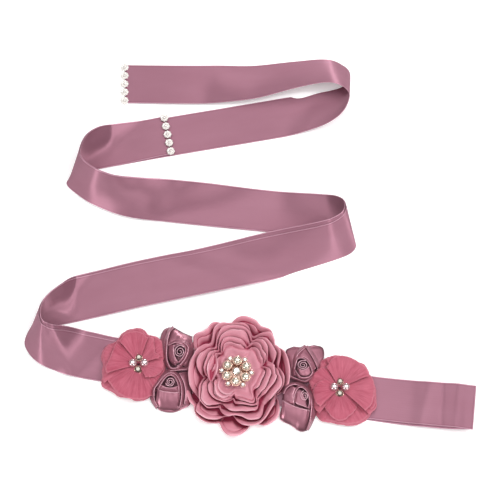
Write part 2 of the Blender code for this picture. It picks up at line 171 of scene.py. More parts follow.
# %% Shells
def shell(middle, wall, rim, closed=False):
    """A closed thin body round a grid of middle points: each point moved half the wall along the
    grid's normal and half the wall against it, with one more point at both sides. rim is a value
    kept at each grid point for the material, and a closed grid's last row meets its first.
    Returns points, faces, UVs and rim values."""
    middle = np.asarray(middle, float)
    nu, nv = middle.shape[:2]
    if closed:
        du = np.roll(middle, -1, 0) - np.roll(middle, 1, 0)
    else:
        du = np.gradient(middle, axis=0)
    dv = np.gradient(middle, axis=1)
    half = np.broadcast_to(np.asarray(wall, float) / 2, (nu, nv))[..., None]
    normal = unit(np.cross(du, dv)) * half
    side = unit(dv) * half
    loop = np.concatenate([middle + normal, middle[:, -1:] + side[:, -1:],
                           (middle - normal)[:, ::-1], middle[:, :1] - side[:, :1]], 1)
    m = loop.shape[1]
    i, j = np.meshgrid(np.arange(nu if closed else nu - 1), np.arange(m), indexing="ij")
    corners = [(i, j), (i + 1, j), (i + 1, j + 1), (i, j + 1)]
    quads = np.stack([(a % nu) * m + b % m for a, b in corners], -1).reshape(-1, 4)
    step = np.linalg.norm(np.diff(middle[:, nv // 2], axis=0, append=middle[:1, nv // 2]), axis=-1)
    u_at = np.concatenate([[0.0], np.cumsum(step)])
    v_mid = along(middle[nu // 2])
    v_at = np.concatenate([v_mid, v_mid[-1:], v_mid[::-1], v_mid[:1]])
    uv = np.stack([np.stack([u_at[a], v_at[b % m]], -1) for a, b in corners], 2).reshape(-1, 2)
    faces = [quads]
    if not closed:
        k = np.arange(nv - 1)
        under = 2 * nv - k
        cap = np.stack([k, k + 1, under - 1, under], -1)
        tips = np.array([[nv - 1, nv, nv + 1], [m - 1, 0, 2 * nv]])
        last = (nu - 1) * m
        faces += [cap, tips, cap[:, ::-1] + last, tips[:, ::-1] + last]
        for part in faces[1:]:
            a, b = part // m, part % m
            uv = np.concatenate([uv, np.stack([u_at[a], v_at[b]], -1).reshape(-1, 2)])
    rims = np.broadcast_to(np.asarray(rim, float), (nu, nv))
    rims = np.concatenate([rims, rims[:, -1:], rims[:, ::-1], rims[:, :1]], 1).ravel()
    return loop.reshape(-1, 3), faces, uv, rims


def volume(points, faces):
    """Signed volume inside the faces: a sixth of the sum of a . (b x c) over their triangles."""
    total = 0.0
    for part in faces:
        for k in range(1, part.shape[1] - 1):
            a, b, c = points[part[:, 0]], points[part[:, k]], points[part[:, k + 1]]
            total += np.einsum("ij,ij->i", a, np.cross(b, c)).sum() / 6
    return total


def add_piece(name, parts, material, replaced=(), flat_shaded=False):
    """One object made of several closed bodies given in millimetres, riding on the part's root
    and standing for the CAD nodes in replaced. A body whose signed volume is below 0 is inside out,
    so its faces are turned."""
    points, polygons, uvs, rims, first = [], [], [], [], 0
    for body, faces, uv, rim in parts:
        inside_out = volume(body - body.mean(0), faces) < 0
        at = 0
        for part in faces:
            size = part.shape[1]
            piece_uv = uv[at:at + part.size].reshape(-1, size, 2)
            at += part.size
            if inside_out:
                part, piece_uv = part[:, ::-1], piece_uv[:, ::-1]
            polygons += (part + first).tolist()
            uvs.append(piece_uv.reshape(-1, 2))
        points.append(body)
        rims.append(np.broadcast_to(rim, len(body)))
        first += len(body)
    mesh = bpy.data.meshes.new(name)
    mesh.from_pydata(np.concatenate(points) * MM, [], polygons)
    layer = mesh.uv_layers.new(name="UVMap")
    layer.data.foreach_set("uv", (np.concatenate(uvs) * MM).astype(np.float32).ravel())
    value = mesh.attributes.new("rim", "FLOAT", "POINT")
    value.data.foreach_set("value", np.concatenate(rims).astype(np.float32))
    mesh.polygons.foreach_set("use_smooth", np.full(len(mesh.polygons), not flat_shaded))
    mesh.materials.append(material)
    mesh.update()
    made = bpy.data.objects.new(name, mesh)
    scene.collection.objects.link(made)
    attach(made, "root")
    if replaced:
        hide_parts(*replaced)
    triangles = sum(len(part) * (part.shape[1] - 2) for body in parts for part in body[1])
    print(f"{name}: {len(parts)} bodies, {triangles} triangles")
    return made


# %% [markdown]
# ## Cloth
#
# Satin is woven so that long floats of bright yarn lie side by side on its face. They shine like
# drawn fibres: the highlight spreads across the yarns, and soft folds show as broad light and dark
# bands. Principled's anisotropy with a share of metal gives that, where a plain gloss would give
# small hot spots. Every cloth piece also carries an attribute named rim, from 0 deep in a fold to 1 at
# an open edge. It paints shade into the hollows as a deep colour, the colour that light between the
# layers takes up, and paints a highlight onto the rims and fold edges as a pale colour. On the ribbon
# it draws the selvedge's light edge and dark line. Chiffon is a matt crinkled gauze.

# %% Satin
YARN_WAVE = 2.17                 # mm. Real yarns lie 0.1 mm apart, too fine to show
CLOUD = (55.6, 18.2)             # mm along and across: slow unevenness of the dye and the press
# rim values over which the painted shade colour and the painted highlight colour come in. On the
# ribbon they draw its selvedge
SHADE_AND_SELVEDGE_SPAN = (0.36, 0.0)          # values of rim from which and to which the deep colour comes in
HIGHLIGHT_AND_SELVEDGE_SPAN = (0.8, 1.0)            # the same for the rim's colour


def satin(name, colour, deep, light, roughness, stretch, sheen, metallic=0.0, glow=0.0,
          sheen_colour="#F6C9D4"):
    """Woven satin: two body colours mixed by slow noise, then by the rim attribute a deep colour,
    painted shade for the hollows, and a light colour, a painted highlight for rims and fold edges. On
    the ribbon these two draw its selvedge. The yarns are a fine wave along the UV's length, stretch is
    how far the highlight spreads across them, and glow is the share of light that passes through."""
    material, tree = new_material(name)
    uv = add_node(tree, "UVMap", uv_map="UVMap").outputs[0]
    cloud_at = add_node(tree, "Mapping", {"Vector": uv, "Scale": (*map(per_metre, CLOUD), 1.0)})
    cloud = add_node(tree, "TexNoise", {"Vector": cloud_at.outputs[0], "Scale": 1.0, "Detail": 3.0,
                                        "Roughness": 0.55})
    # a Wave texture turns by 20 radians for each unit of its scaled coordinate
    yarn = add_node(tree, "TexWave", {"Vector": uv, "Scale": per_metre(YARN_WAVE) * 2 * math.pi / 20,
                                      "Distortion": 1.5, "Detail": 1.0},
                    wave_type="BANDS", bands_direction="Y")
    base = add_node(tree, "MixRGB", {0: cloud.outputs[0], 1: linear(colour[0]),
                                     2: linear(colour[1])}).outputs[0]
    value = add_node(tree, "Attribute", attribute_name="rim").outputs["Fac"]
    # the deep colour comes in as painted shade in the hollows, and the light one as a painted
    # highlight on rims and fold edges
    for code, (start, end) in ((deep, SHADE_AND_SELVEDGE_SPAN), (light, HIGHLIGHT_AND_SELVEDGE_SPAN)):
        share = add_node(tree, "MapRange", {"Value": value, "From Min": start, "From Max": end},
                         interpolation_type="SMOOTHSTEP")
        base = add_node(tree, "MixRGB", {0: share.outputs[0], 1: base, 2: linear(code)}).outputs[0]
    bump = add_node(tree, "Bump", {"Strength": 0.35, "Distance": 0.00004, "Height": yarn.outputs[1]})
    ripple = add_node(tree, "Bump", {"Strength": 0.5, "Distance": 0.0006,
                                     "Height": cloud.outputs[0], "Normal": bump.outputs[0]})
    tangent = add_node(tree, "Tangent", direction_type="UV_MAP", uv_map="UVMap")
    surface = add_node(tree, "BsdfPrincipled", {
        "Base Color": base, "Roughness": roughness, "Anisotropic": stretch, "Metallic": metallic,
        "Anisotropic Rotation": 0.25, "Specular IOR Level": 0.5, "IOR": 1.5,
        "Sheen Weight": sheen, "Sheen Roughness": 0.35, "Sheen Tint": linear(sheen_colour),
        "Normal": ripple.outputs[0], "Tangent": tangent.outputs[0]}).outputs[0]
    if glow:
        through = add_node(tree, "BsdfTranslucent", {"Color": base})
        surface = add_node(tree, "MixShader", {0: glow, 1: surface,
                                               2: through.outputs[0]}).outputs[0]
    add_node(tree, "OutputMaterial", {"Surface": surface})
    return material


# double-faced ribbon, woven and pressed flat: long soft streaks, and a thin dark selvedge line
RIBBON = satin("woven_satin_ribbon", ("#A16C7E", "#AD7A8B"), "#7A4055", "#C796A8", 0.47, 1.0, 0.1,
               metallic=0.45)
# the same ribbon folded over and pressed tight: sharper shine, painted wine-red shade in its hollows
# and a painted highlight on its fold edges
ROSE = satin("folded_satin_ribbon", ("#99606F", "#AA7080"), "#4A1E2B", "#DDB0BD", 0.32, 0.7, 0.1,
             metallic=0.4)
# thin satin with its rims singed: powdery pink that lets some light through, with painted red shade in
# its grooves and tucks and a painted highlight toward its rims
PETAL = satin("heat_sealed_thin_satin", ("#DA8C9E", "#E8A0B0"), "#B03C5A", "#F6BECB", 0.45, 0.0, 0.35,
              glow=0.22, sheen_colour="#FAD0DA")
print("satins:", RIBBON.name, ROSE.name, PETAL.name)


# %% Chiffon
CRINKLE = (1.43, 14.3)           # mm across and along a crinkle, which runs out from the middle
GRAIN = 0.385                    # mm: the open weave, drawn somewhat coarser than it is


def chiffon_gauze(name, dark, light, edge):
    """Crinkled chiffon: stretched noise gives fine creases in height and paints their shade and light
    into the colour, the rim attribute brings in a pale colour as a painted highlight on rims and side
    edges, and part of the light passes through the open weave."""
    material, tree = new_material(name)
    uv = add_node(tree, "UVMap", uv_map="UVMap").outputs[0]
    crinkle_at = add_node(tree, "Mapping", {"Vector": uv, "Scale": (*map(per_metre, CRINKLE), 1.0)})
    crinkle = add_node(tree, "TexNoise", {"Vector": crinkle_at.outputs[0], "Scale": 1.0, "Detail": 4.0,
                                          "Roughness": 0.6})
    # painted shade and light of the crinkles: the dark and the light colour are mixed by the crinkle
    # noise
    shade = add_node(tree, "MapRange", {"Value": crinkle.outputs[0], "From Min": 0.3, "From Max": 0.7})
    grain = add_node(tree, "TexNoise", {"Vector": uv, "Scale": per_metre(GRAIN), "Detail": 2.0})
    mixed = add_node(tree, "MixRGB", {0: shade.outputs[0], 1: linear(dark), 2: linear(light)})
    value = add_node(tree, "Attribute", attribute_name="rim").outputs["Fac"]
    # painted highlight: the rim attribute brings in the pale colour at rims and side edges
    base = add_node(tree, "MixRGB", {0: value, 1: mixed.outputs[0], 2: linear(edge)}).outputs[0]
    fine = add_node(tree, "Bump", {"Strength": 0.4, "Distance": 0.0001, "Height": grain.outputs[0]})
    bump = add_node(tree, "Bump", {"Strength": 0.7, "Distance": 0.0006,
                                   "Height": crinkle.outputs[0], "Normal": fine.outputs[0]})
    shader = add_node(tree, "BsdfPrincipled", {
        "Base Color": base, "Roughness": 0.85, "Specular IOR Level": 0.2,
        "Sheen Weight": 0.3, "Sheen Roughness": 0.5, "Sheen Tint": linear("#F0A5B5"),
        "Normal": bump.outputs[0]})
    through = add_node(tree, "BsdfTranslucent", {"Color": base})
    surface = add_node(tree, "MixShader", {0: 0.25, 1: shader.outputs[0], 2: through.outputs[0]})
    add_node(tree, "OutputMaterial", {"Surface": surface.outputs[0]})
    return material


# polyester chiffon, crinkled by heat: matt coral rose, with its fine creases' shade and light painted
# in as streaks, and a painted highlight on its edges
GAUZE = chiffon_gauze("crinkled_chiffon", "#BC556B", "#D6768B", "#E795A6")
print("gauze:", GAUZE.name)

# %% [markdown]
# ## Pearl, stone and metal
#
# Imitation pearls are glass beads dipped in nacre lacquer: a soft metal-like body under a clear
# coat, so each shows one round light and a dark rim. The stones are pressed glass silvered behind,
# which the eye reads as bright and dark facets. Both need the room's light more than any pattern.

# %% Finishes of the trimmings
MOTTLE = 1.11                    # mm: unevenness of the lacquer, the glass and the plating


def plain(name, colour, grain, **settings):
    """One smooth finish: its colour times 1 - grain and 1 + grain, mixed by noise. settings are the
    shader's sockets, with _ for a space."""
    material, tree = new_material(name)
    place = add_node(tree, "TexCoord").outputs["Object"]
    mottle = add_node(tree, "TexNoise", {"Vector": place, "Scale": per_metre(MOTTLE), "Detail": 2.0})
    tone = np.array(linear(colour)[:3])
    ends = [(*np.clip(tone * (1 + side * grain), 0, 1).tolist(), 1.0) for side in (-1, 1)]
    base = add_node(tree, "MixRGB", {0: mottle.outputs[0], 1: ends[0], 2: ends[1]})
    shader = add_node(tree, "BsdfPrincipled", {
        "Base Color": base.outputs[0], **{k.replace("_", " "): v for k, v in settings.items()}})
    add_node(tree, "OutputMaterial", {"Surface": shader.outputs[0]})
    return material


# cream nacre lacquer under a clear coat: a warm bead with one white light
PEARL = plain("lacquered_pearl_bead", "#E6DCCB", 0.03, Roughness=0.20, Metallic=0.72,
              Coat_Weight=0.8, Coat_Roughness=0.05)
# the same bead tinted by the cloth round it
BLUSH = plain("blush_lacquered_pearl_bead", "#E9CFD2", 0.03, Roughness=0.20, Metallic=0.72,
              Coat_Weight=0.8, Coat_Roughness=0.05)
# pressed clear glass with foil behind: facets that flash white or go dark
STONE = plain("silvered_cut_glass", "#EDEBE8", 0.10, Roughness=0.06, Metallic=0.75,
              Coat_Weight=1.0, Coat_Roughness=0.02)
# the same glass, smoke grey: small dark sparkles
SMOKE = plain("smoked_cut_glass", "#9A958A", 0.2, Roughness=0.08, Metallic=0.8,
              Coat_Weight=1.0, Coat_Roughness=0.02)
# moulded acrylic with pearl powder in it: milky white with a soft silver shade
TRIM = plain("moulded_pearl_white_acrylic", "#E4DFDA", 0.04, Roughness=0.25, Metallic=0.25,
             Coat_Weight=0.6)
# cast metal, plated and tumbled: warm pink-gold gleams between the beads
GOLD = plain("rose_gold_plated_metal", "#D9B7A8", 0.06, Roughness=0.25, Metallic=1.0)
print("materials:", len(bpy.data.materials))

# %% [markdown]
# ## The ribbon
#
# A ribbon bends without stretching, so any cross-section is a straight line, and the surface is
# ruled. Each row of the table gives the near edge's place, how far it is lifted, and where the
# straight line across the ribbon points: its heading in plan and its rise, in degrees. The last
# column is how far the under layer has slipped sideways. Between the rows the values run smoothly.
# Slack cloth isn't quite flat, so low bends cross it on a slant, and they make its streaks of light.

# %% Ribbon table
RIBBON_WIDTH = 40.0              # sizes here are millimetres
RIBBON_WALL = 0.45
LAYER = 0.9                      # from one layer's middle to the next
RIBBON_FLOOR = 0.3               # height of the lower layer's middle over the table
FOLD_RADIUS = 3.4                # of the soft fold at the doubled end
FOLD_STEPS = 16
ROW_LENGTH, ROW_TURN = 4.0, 3.0  # a new row comes after this length or this many degrees
SECTIONS = (
    # name, x, y, lift, heading, rise, slip
    ("long end", -110, 275.5, 0, 91, 0, 0),
    ("stretch 1", -37, 274, 0, 91, 0, 0),
    ("stretch 1 lifts", 11, 275.5, 8, 91, -12, 0),
    ("stretch 1 climbs", 57, 284.5, 17, 89, -26, 0),
    ("stretch 1 crest", 86, 288, 21, 86, -32, 0),
    ("turn 1 in", 101, 282, 23, 85, -36, 0),
    ("turn 1", 106, 273, 23, 86, -36, 0),
    ("turn 1 out", 100, 259, 19, 87, -29, 0),
    ("stretch 2 falls", 87, 250.5, 12, 90, -18, 0),
    ("stretch 2 settles", 66, 245, 4, 95, -7, 0),
    ("stretch 2 flat", 40, 239.5, 0, 99, 0, 0),
    ("stretch 2", -64, 220.5, 0, 101, 0, 1.5),
    ("stretch 2 rises", -116, 210.5, 0, 97, 13, 0),
    ("turn 2 in", -136, 206.5, 0, 88, 31, 0),
    ("turn 2 leans", -151, 202, 0, 76, 49, 0),
    ("turn 2", -162, 192, 0, 55, 56, 0),
    ("turn 2 out", -153, 182.5, 0, 54, 60, 0),
    ("stretch 3 falls", -129, 169.5, 0, 67, 60, 0),
    ("stretch 3 settles", -97, 158, 0, 80, 44, 0),
    ("stretch 3", -60, 152, 0, 84, 22, 0),
    ("stretch 3 flat", 30, 142.5, 0, 84, 6, 0),
    ("stretch 3 rises", 80, 137.5, 0, 87, 18, 0),
    ("turn 3 in", 102, 135, 0, 98, 34, -1),
    ("turn 3", 109.5, 130.5, 0, 109, 40, -2),
    ("turn 3 out", 104.5, 123, 0, 108, 42, -3),
    ("stretch 4 falls", 87, 115.5, 0, 103, 43, -4),
    ("stretch 4 settles", 50, 104.5, 0, 102, 30, -4),
    ("stretch 4", 0, 92, 0, 103, 10, -4),
    ("stretch 4 flat", -90, 71, 0, 103, 5, -3),
    ("stretch 4 rises", -146, 57, 0, 96, 15, -2),
    ("turn 4 in", -166, 51, 0, 86, 36, 0),
    ("turn 4 leans", -182, 45.5, 0, 75, 53, 1),
    ("turn 4", -195, 36, 0, 56, 54, 2),
    ("turn 4 out", -190, 23, 0, 62, 54, 3),
    ("stretch 5 falls", -172, 9, 0, 85, 42, 4),
    ("stretch 5 settles", -140, -1, 0, 86, 6, 4),
    ("stretch 5", -60, -12.5, 0, 82, 0, 2),
    ("stretch 5 flat", 110, -37.5, 0, 82, 0, -1),
    ("stretch 5 lifts", 160, -44, 2, 82, 2, -2),
    ("fold in", 192, -47.5, 5, 83, 5, -2),
    ("fold", 209, -50, 6, 84, 6, 0),
)
SHORT_END = "stretch 2"
BENDS = (
    # distance along the ribbon at its near and far edge, height, and how steeply the ridge rises
    # before its line and falls after it, as half widths. The ribbon faces down on stretches 2 and
    # 4, so a ridge there has a height below 0
    (88, 88, 3.0, 60, 22),
    (504, 437, 1.8, 12, 12),
    (541, 542, 1.5, 9, 9),
    (571, 641, 4.0, 22, 22),
    (905, 977, -4.6, 19, 70),
    (995, 995, -0.8, 7, 30),
    (1119, 1040, 1.6, 14, 14),
    (1130, 1126, 1.3, 6, 6),
    (1158, 1144, 0.9, 5, 5),
    (1158, 1181, 1.0, 6, 6),
    (1485, 1487, 0.8, 5, 5),
    (1503, 1503, -0.8, 4, 4),
    (1516, 1516, 0.7, 4, 4),
)
# share of the width and value of the rim attribute: a light edge, then the selvedge's dark line
SELVEDGE = ((0.0, 1.0), (0.014, 0.9), (0.026, 0.2), (0.038, 0.26), (0.055, 0.6))
COLUMNS = 11                     # of points across the cloth between the selvedges


# %% Ribbon shape
def ruled(rows):
    """Each row's near edge, and the straight line across from its heading and rise."""
    heading, rise = np.radians(rows[:, 3]), np.radians(rows[:, 4])
    line = np.stack([np.cos(rise) * np.cos(heading), np.cos(rise) * np.sin(heading),
                     np.sin(rise)], -1)
    return rows[:, :3].copy(), line


def row_places(table, row_at):
    """Where rows are read along the ribbon: closer together where its path or its line turns."""
    fine_at = np.linspace(0.0, row_at[-1], 3000)
    near, line = ruled(hermite(table, row_at, fine_at))
    path = unit(np.gradient(near + line * RIBBON_WIDTH / 2, axis=0))
    bend = np.degrees(np.linalg.norm(np.diff(path, axis=0), axis=1)
                      + np.linalg.norm(np.diff(line, axis=0), axis=1))
    effort = np.concatenate([[0.0], np.cumsum(np.diff(fine_at) / ROW_LENGTH + bend / ROW_TURN)])
    return np.interp(np.linspace(0.0, effort[-1], int(effort[-1]) + 1), effort, fine_at)


def bent(at, share):
    """Height of the bends: for each one a bell curve of the distance from its slanting line,
    high * exp(-off^2 / 2), with its own half width before the line and after it."""
    total = np.zeros((len(at), len(share)))
    for near_at, far_at, high, before, after in BENDS:
        off = at[:, None] - near_at - (far_at - near_at) * share
        off = off / np.where(off < 0, before, after)
        total = total + high * np.exp(-off * off / 2)
    return total[..., None]


def ribbon_grid():
    """The ribbon's middle surface from its long end, round the soft fold and back under itself to
    its short end. Where it is doubled its upper layer swells a little off the one below."""
    table = np.array([row[1:] for row in SECTIONS], float)
    near, line = ruled(table)
    row_at = along(near + line * RIBBON_WIDTH / 2)
    short_at = row_at[[row[0] for row in SECTIONS].index(SHORT_END)]
    at = row_places(table, row_at)
    at[np.argmin(abs(at - short_at))] = short_at
    rows = hermite(table, row_at, at)
    near, line = ruled(rows)
    normal = unit(np.cross(unit(np.gradient(near + line * RIBBON_WIDTH / 2, axis=0)), line))
    level = np.cos(np.radians(rows[:, 4]))
    doubled = smooth(at, short_at - 6.0, short_at + 1.0)
    near[:, 2] += RIBBON_FLOOR * level + LAYER * doubled * np.clip(normal[:, 2], 0.0, None)
    border = np.array(SELVEDGE)[:, 0]
    share = np.concatenate([border[:-1], np.linspace(border[-1], 1 - border[-1], COLUMNS),
                            1 - border[-2::-1]])
    upper = near[:, None] + line[:, None] * (RIBBON_WIDTH * share[:, None])
    swell = 0.22 * rough(at[:, None] / 34.0, share * 3.0, 0.4) * doubled[:, None]
    upper = upper + normal[:, None] * (0.2 * doubled[:, None] + swell)[..., None]
    moved = normal[:, None] * bent(at, share)
    upper = upper + moved
    under = at >= short_at
    lower = (near - LAYER * normal + line * rows[:, 5:6])[under]
    lower = lower[:, None] + line[under][:, None] * (RIBBON_WIDTH * share[:, None])
    lower = (lower + moved[under])[::-1]
    middle, half = (upper[-1] + lower[0]) / 2, (upper[-1] - lower[0]) / 2
    out = unit(np.cross(line[-1], normal[-1]))
    turn = np.linspace(0.0, math.pi, FOLD_STEPS + 2)[1:-1, None, None]
    fold = middle + half * np.cos(turn) + out * (FOLD_RADIUS * np.sin(turn))
    return np.concatenate([upper, fold, lower])


ribbon_middle = ribbon_grid()
edge_rim = np.array(SELVEDGE)[:, 1]
ribbon_rim = np.concatenate([edge_rim[:-1], np.full(COLUMNS, edge_rim[-1]), edge_rim[-2::-1]])
ribbon = add_piece("ribbon_satin", [shell(ribbon_middle, RIBBON_WALL, ribbon_rim)], RIBBON,
                   ["ribbon"])
ribbon_length = along(ribbon_middle[:, ribbon_middle.shape[1] // 2])[-1]
print("ribbon's length", round(ribbon_length), "mm")

# %% [markdown]
# ## The big flower
#
# The real flower is a stack of thin satin discs. Each one is notched into petals, singed so that
# its rim draws up, and gathered at the notches when the stack is sewn, so the rims stand in rings
# that pinch inward at the same bearings. Each ring here is a set of petals between its tucks. A
# petal climbs from under the ring inside it, then levels out at its rim, and dives at both ends.
# The innermost petals lie nearly level round the brooch. Two broad ones fold in over them, and a
# narrow one is folded along its length.

# %% Petal rings
# for each ring from the inside out: the rim's height, the bearings of its tucks, and the bearing
# and radius of points on its rim, in degrees and millimetres from the flower's middle
RIMS = {
    "petals_1": (16.0, (18, 70, 129, 187, 261, 308), (
        (0, 24.3), (10, 26), (18, 25.5), (24, 27), (38, 27.5), (45, 29), (52, 30.7), (60, 31.8),
        (64, 32), (70, 29), (76, 29), (90, 29.5), (97, 31), (102, 32.8), (108, 33), (115, 32),
        (120, 30), (127, 27), (133, 27), (142, 25), (150, 23.7), (170, 23.2), (178, 24.5),
        (187, 22.5), (190, 22), (197, 23), (208, 23.5), (215, 25.5), (222, 27), (230, 27),
        (238, 26.5), (247, 25.7), (255, 24), (260, 21), (265, 23.3), (272, 23.5), (280, 24.5),
        (287, 26.5), (293, 29), (298, 30.5), (303, 29), (308, 24), (318, 21), (330, 21.5),
        (340, 21.7), (350, 22.6))),
    "petals_2": (17.2, (20, 70, 127, 187, 259, 308), (
        (0, 30), (10, 30), (15, 29), (20, 28), (24, 30), (27, 31), (32, 32.5), (45, 32.8),
        (50, 34.5), (55, 35.7), (65, 36.5), (70, 34), (76, 33), (80, 34), (88, 35), (95, 36.5),
        (105, 37.5), (113, 36.5), (120, 34.5), (127, 31), (135, 30.5), (140, 29.5), (148, 28.8),
        (155, 28), (165, 27.8), (175, 28), (183, 28), (187, 26), (195, 27), (200, 28),
        (205, 29), (212, 30), (220, 30.5), (230, 30), (238, 28.8), (250, 27.5), (257, 26),
        (260, 25.5), (265, 28), (275, 27.5), (283, 28.5), (290, 30.5), (297, 32.5), (302, 33.5),
        (308, 30), (322, 26), (330, 27), (338, 27.5), (352, 28.5))),
    "petals_3a": (16.6, (28, 70, 129, 185, 243, 309), (
        (0, 34), (10, 34), (15, 35), (28, 34.7), (33, 35.5), (38, 36.5), (45, 38.5), (50, 40),
        (57, 40.5), (65, 39.5), (70, 37), (75, 40), (80, 43), (90, 43.5), (97, 44.5),
        (105, 43.5), (112, 41.5), (118, 39), (125, 36), (129, 35), (136, 35), (145, 34),
        (152, 33), (160, 32.7), (170, 32), (180, 32), (185, 31), (195, 33), (200, 34),
        (205, 35), (210, 37), (215, 39.5), (222, 40), (228, 39), (233, 36), (241, 33),
        (250, 33), (257, 33.5), (266, 34), (275, 34), (282, 35), (290, 36), (297, 37),
        (303, 34.5), (310, 32), (320, 30.5), (333, 31), (338, 32), (345, 33.5), (357, 35.3))),
    "petals_3b": (15.4, (16, 68, 129, 184, 242, 309), (
        (0, 37.5), (8, 38), (14, 37), (20, 37.5), (23, 39), (28, 41), (35, 41.5), (42, 42.5),
        (50, 43.5), (60, 43), (68, 40), (75, 45), (80, 46), (90, 47.5), (98, 48.5), (108, 48),
        (112, 45.5), (118, 42.5), (125, 39), (130, 38), (136, 38.5), (145, 38), (150, 39.7),
        (157, 40), (163, 39.5), (170, 37.7), (178, 36), (183, 34.8), (188, 35), (195, 36),
        (205, 38.5), (210, 40), (215, 41.5), (228, 41.5), (235, 39), (240, 37), (245, 39.3),
        (250, 40), (258, 39.5), (263, 38.3), (268, 38), (275, 39), (283, 43), (290, 44.5),
        (296, 45), (302, 43), (306, 41), (312, 39), (320, 37), (333, 37.7), (345, 40.5),
        (352, 40), (357, 38.5))),
    "petals_4": (12.6, (14, 70, 131, 208, 262, 333), (
        (0, 42), (8, 41.5), (14, 42), (20, 43), (27, 44.5), (35, 45), (40, 44), (45, 47),
        (50, 49), (53, 50), (58, 48.5), (64, 46), (70, 44), (75, 46.5), (78, 49), (85, 50),
        (92, 50), (100, 50.5), (106, 52), (112, 51.8), (118, 49), (122, 46), (128, 44),
        (135, 46), (142, 45), (155, 45), (180, 45), (207, 45), (212, 43.5), (215, 45),
        (219, 49), (223, 50.8), (235, 50), (240, 48.5), (247, 45.5), (252, 42.5), (258, 41.5),
        (263, 40.5), (266, 42), (270, 45), (277, 48), (285, 50), (292, 50.5), (297, 49.3),
        (305, 46.7), (312, 44.7), (320, 43.5), (333, 41.8), (338, 43), (345, 43), (355, 42.5))),
    "petals_5": (8.6, (42, 100, 148, 184, 248, 287, 334), (
        (0, 47.5), (8, 48), (15, 48), (26, 47.7), (40, 48), (45, 49.5), (50, 51), (55, 52),
        (65, 50.5), (68, 51.5), (72, 54), (78, 55.5), (85, 56), (92, 55), (97, 53), (101, 51.2),
        (106, 53), (113, 55), (118, 54), (123, 52), (127, 52), (132, 54), (137, 55.3),
        (142, 53), (148, 50), (155, 47), (165, 45.5), (180, 46), (190, 49), (200, 50.3),
        (210, 51), (216, 50.3), (220, 52.5), (224, 54), (230, 54.3), (238, 53.5), (245, 51.8),
        (249, 51.2), (255, 55.5), (260, 58), (266, 58.7), (272, 57.5), (278, 54.7), (285, 51),
        (289, 50.8), (292, 51.5), (298, 54.5), (305, 55), (312, 54.5), (317, 52.3), (322, 49.5),
        (328, 46.5), (334, 44), (340, 46), (350, 47))),
}
RIM_LEVEL = 12.0                 # the level on which the rims' points lie as they are seen
SEWN_RADIUS = 8.0                # where the petals are sewn together
STEEPNESS = 7.2                  # from a ring's root up to the rim of the ring inside it
TURNED_RIM = 4.6                 # width of the singed rim that bends up
TURN_UP = {"petals_4": 0.9, "petals_5": 1.2}    # how far it bends up, on the outer rings alone


# %% One petal
def rim_radius(name, bearing):
    """The rim's radius: the table's, with the point moved toward the viewer by the rim's height
    over RIM_LEVEL times the view's slope."""
    top, _, table = RIMS[name]
    return round_table(table, bearing) - np.sin(np.radians(bearing)) * VIEW_SLOPE * (top - RIM_LEVEL)


def petal(start, end, outer, inner, top, groove, sewn, seed, turn_up):
    """One petal of a ring. Its width runs from one tuck to the next. From the sewn middle it goes
    out under the ring inside it. There it turns up steeply, at a rate that falls as the way left
    does, and its rim lies level and droops a little. Both ends dive by 7 mm and draw in by 4.2 mm,
    and small pleats run in from them. Where turn_up isn't 0 the outer few millimetres bend up by
    that much from a sharp line, as a singed rim does."""
    lap = 5.0
    count = int((end - start + 2 * lap) / 1.1) + 2
    bearing = np.linspace(start - lap, end + lap, count)
    wave = np.radians(bearing)
    edge = np.minimum(bearing - start, end - bearing)
    dive = 1 - smooth(edge, -lap, 17.0)
    rim = outer(bearing) - 4.2 * dive + 0.5 * rough(wave * 5.0, 0.0, seed)
    floor = np.minimum(inner(bearing) - 0.6, rim - 2.2)
    hidden = np.linspace(0.0, 1.0, 6)[:-1]
    seen = np.linspace(0.0, 1.0, 22 if turn_up else 15)
    high = top - 7.0 * dive + 1.7 * rough(wave * 4.2, 0.0, seed + 3)
    low = groove - 1.0 * dive
    climb = 1 - (1 - seen) ** 2.4 - 0.10 * smooth(seen, 0.85, 1.0)
    r = np.concatenate([SEWN_RADIUS + (floor[:, None] - SEWN_RADIUS) * hidden,
                        floor[:, None] + (rim - floor)[:, None] * seen], 1)
    z = np.concatenate([sewn + (low[:, None] - sewn) * hidden ** 2,
                        low[:, None] + (high - low)[:, None] * climb], 1)
    share = np.concatenate([hidden * 0.4, 0.4 + 0.6 * seen])
    pleat = np.exp(-np.maximum(edge, 0) / 6.0)[:, None] * np.sin(bearing[:, None] * 0.7 + seed)
    z = z + 0.6 * pleat * share + 0.35 * rough(wave[:, None] * 8, r / 5.0, seed) * share
    to_line = r - rim[:, None] + TURNED_RIM
    calm = (1 - dive)[:, None] * turn_up
    z = z + calm * (smooth(to_line, 0.0, TURNED_RIM) - 0.7 * np.exp(-to_line ** 2 / 0.5))
    depth = np.concatenate([0.0 * hidden, seen])
    # painted shade: the colour deepens down into the groove and more at the tucks, with a painted dark
    # line on the crease of a turned-up rim; toward the rim a painted highlight comes in
    bright = depth * (1 - 0.75 * dive[:, None]) - 0.5 * calm * np.exp(-to_line ** 2 / 0.4)
    return shell(polar_grid(r, bearing, z), 0.45, bright)


# %% The flower's middle
DISC_HEIGHT = 12.3
CREASES = (66, 128, 300, 18)     # bearings of the shallow creases in the disc
# two broad petals folded in over the disc: first and last bearing, how far the rim is from the
# middle at each of five even steps, its height, and how far out the petal starts to rise
FOLDED_IN = (
    (190, 262, (15, 21, 22.5, 21, 14), 16.0, 0.62),
    (196, 256, (20, 24.5, 26.5, 25, 17), 17.2, 0.70),
)
# the petal folded along its length: its tips, half width, the rims' height, the trough's depth
FOLDED_LEAF = ((-21.5, 20.5), (-24.5, -6.5), 4.6, 19.2, 4.6)


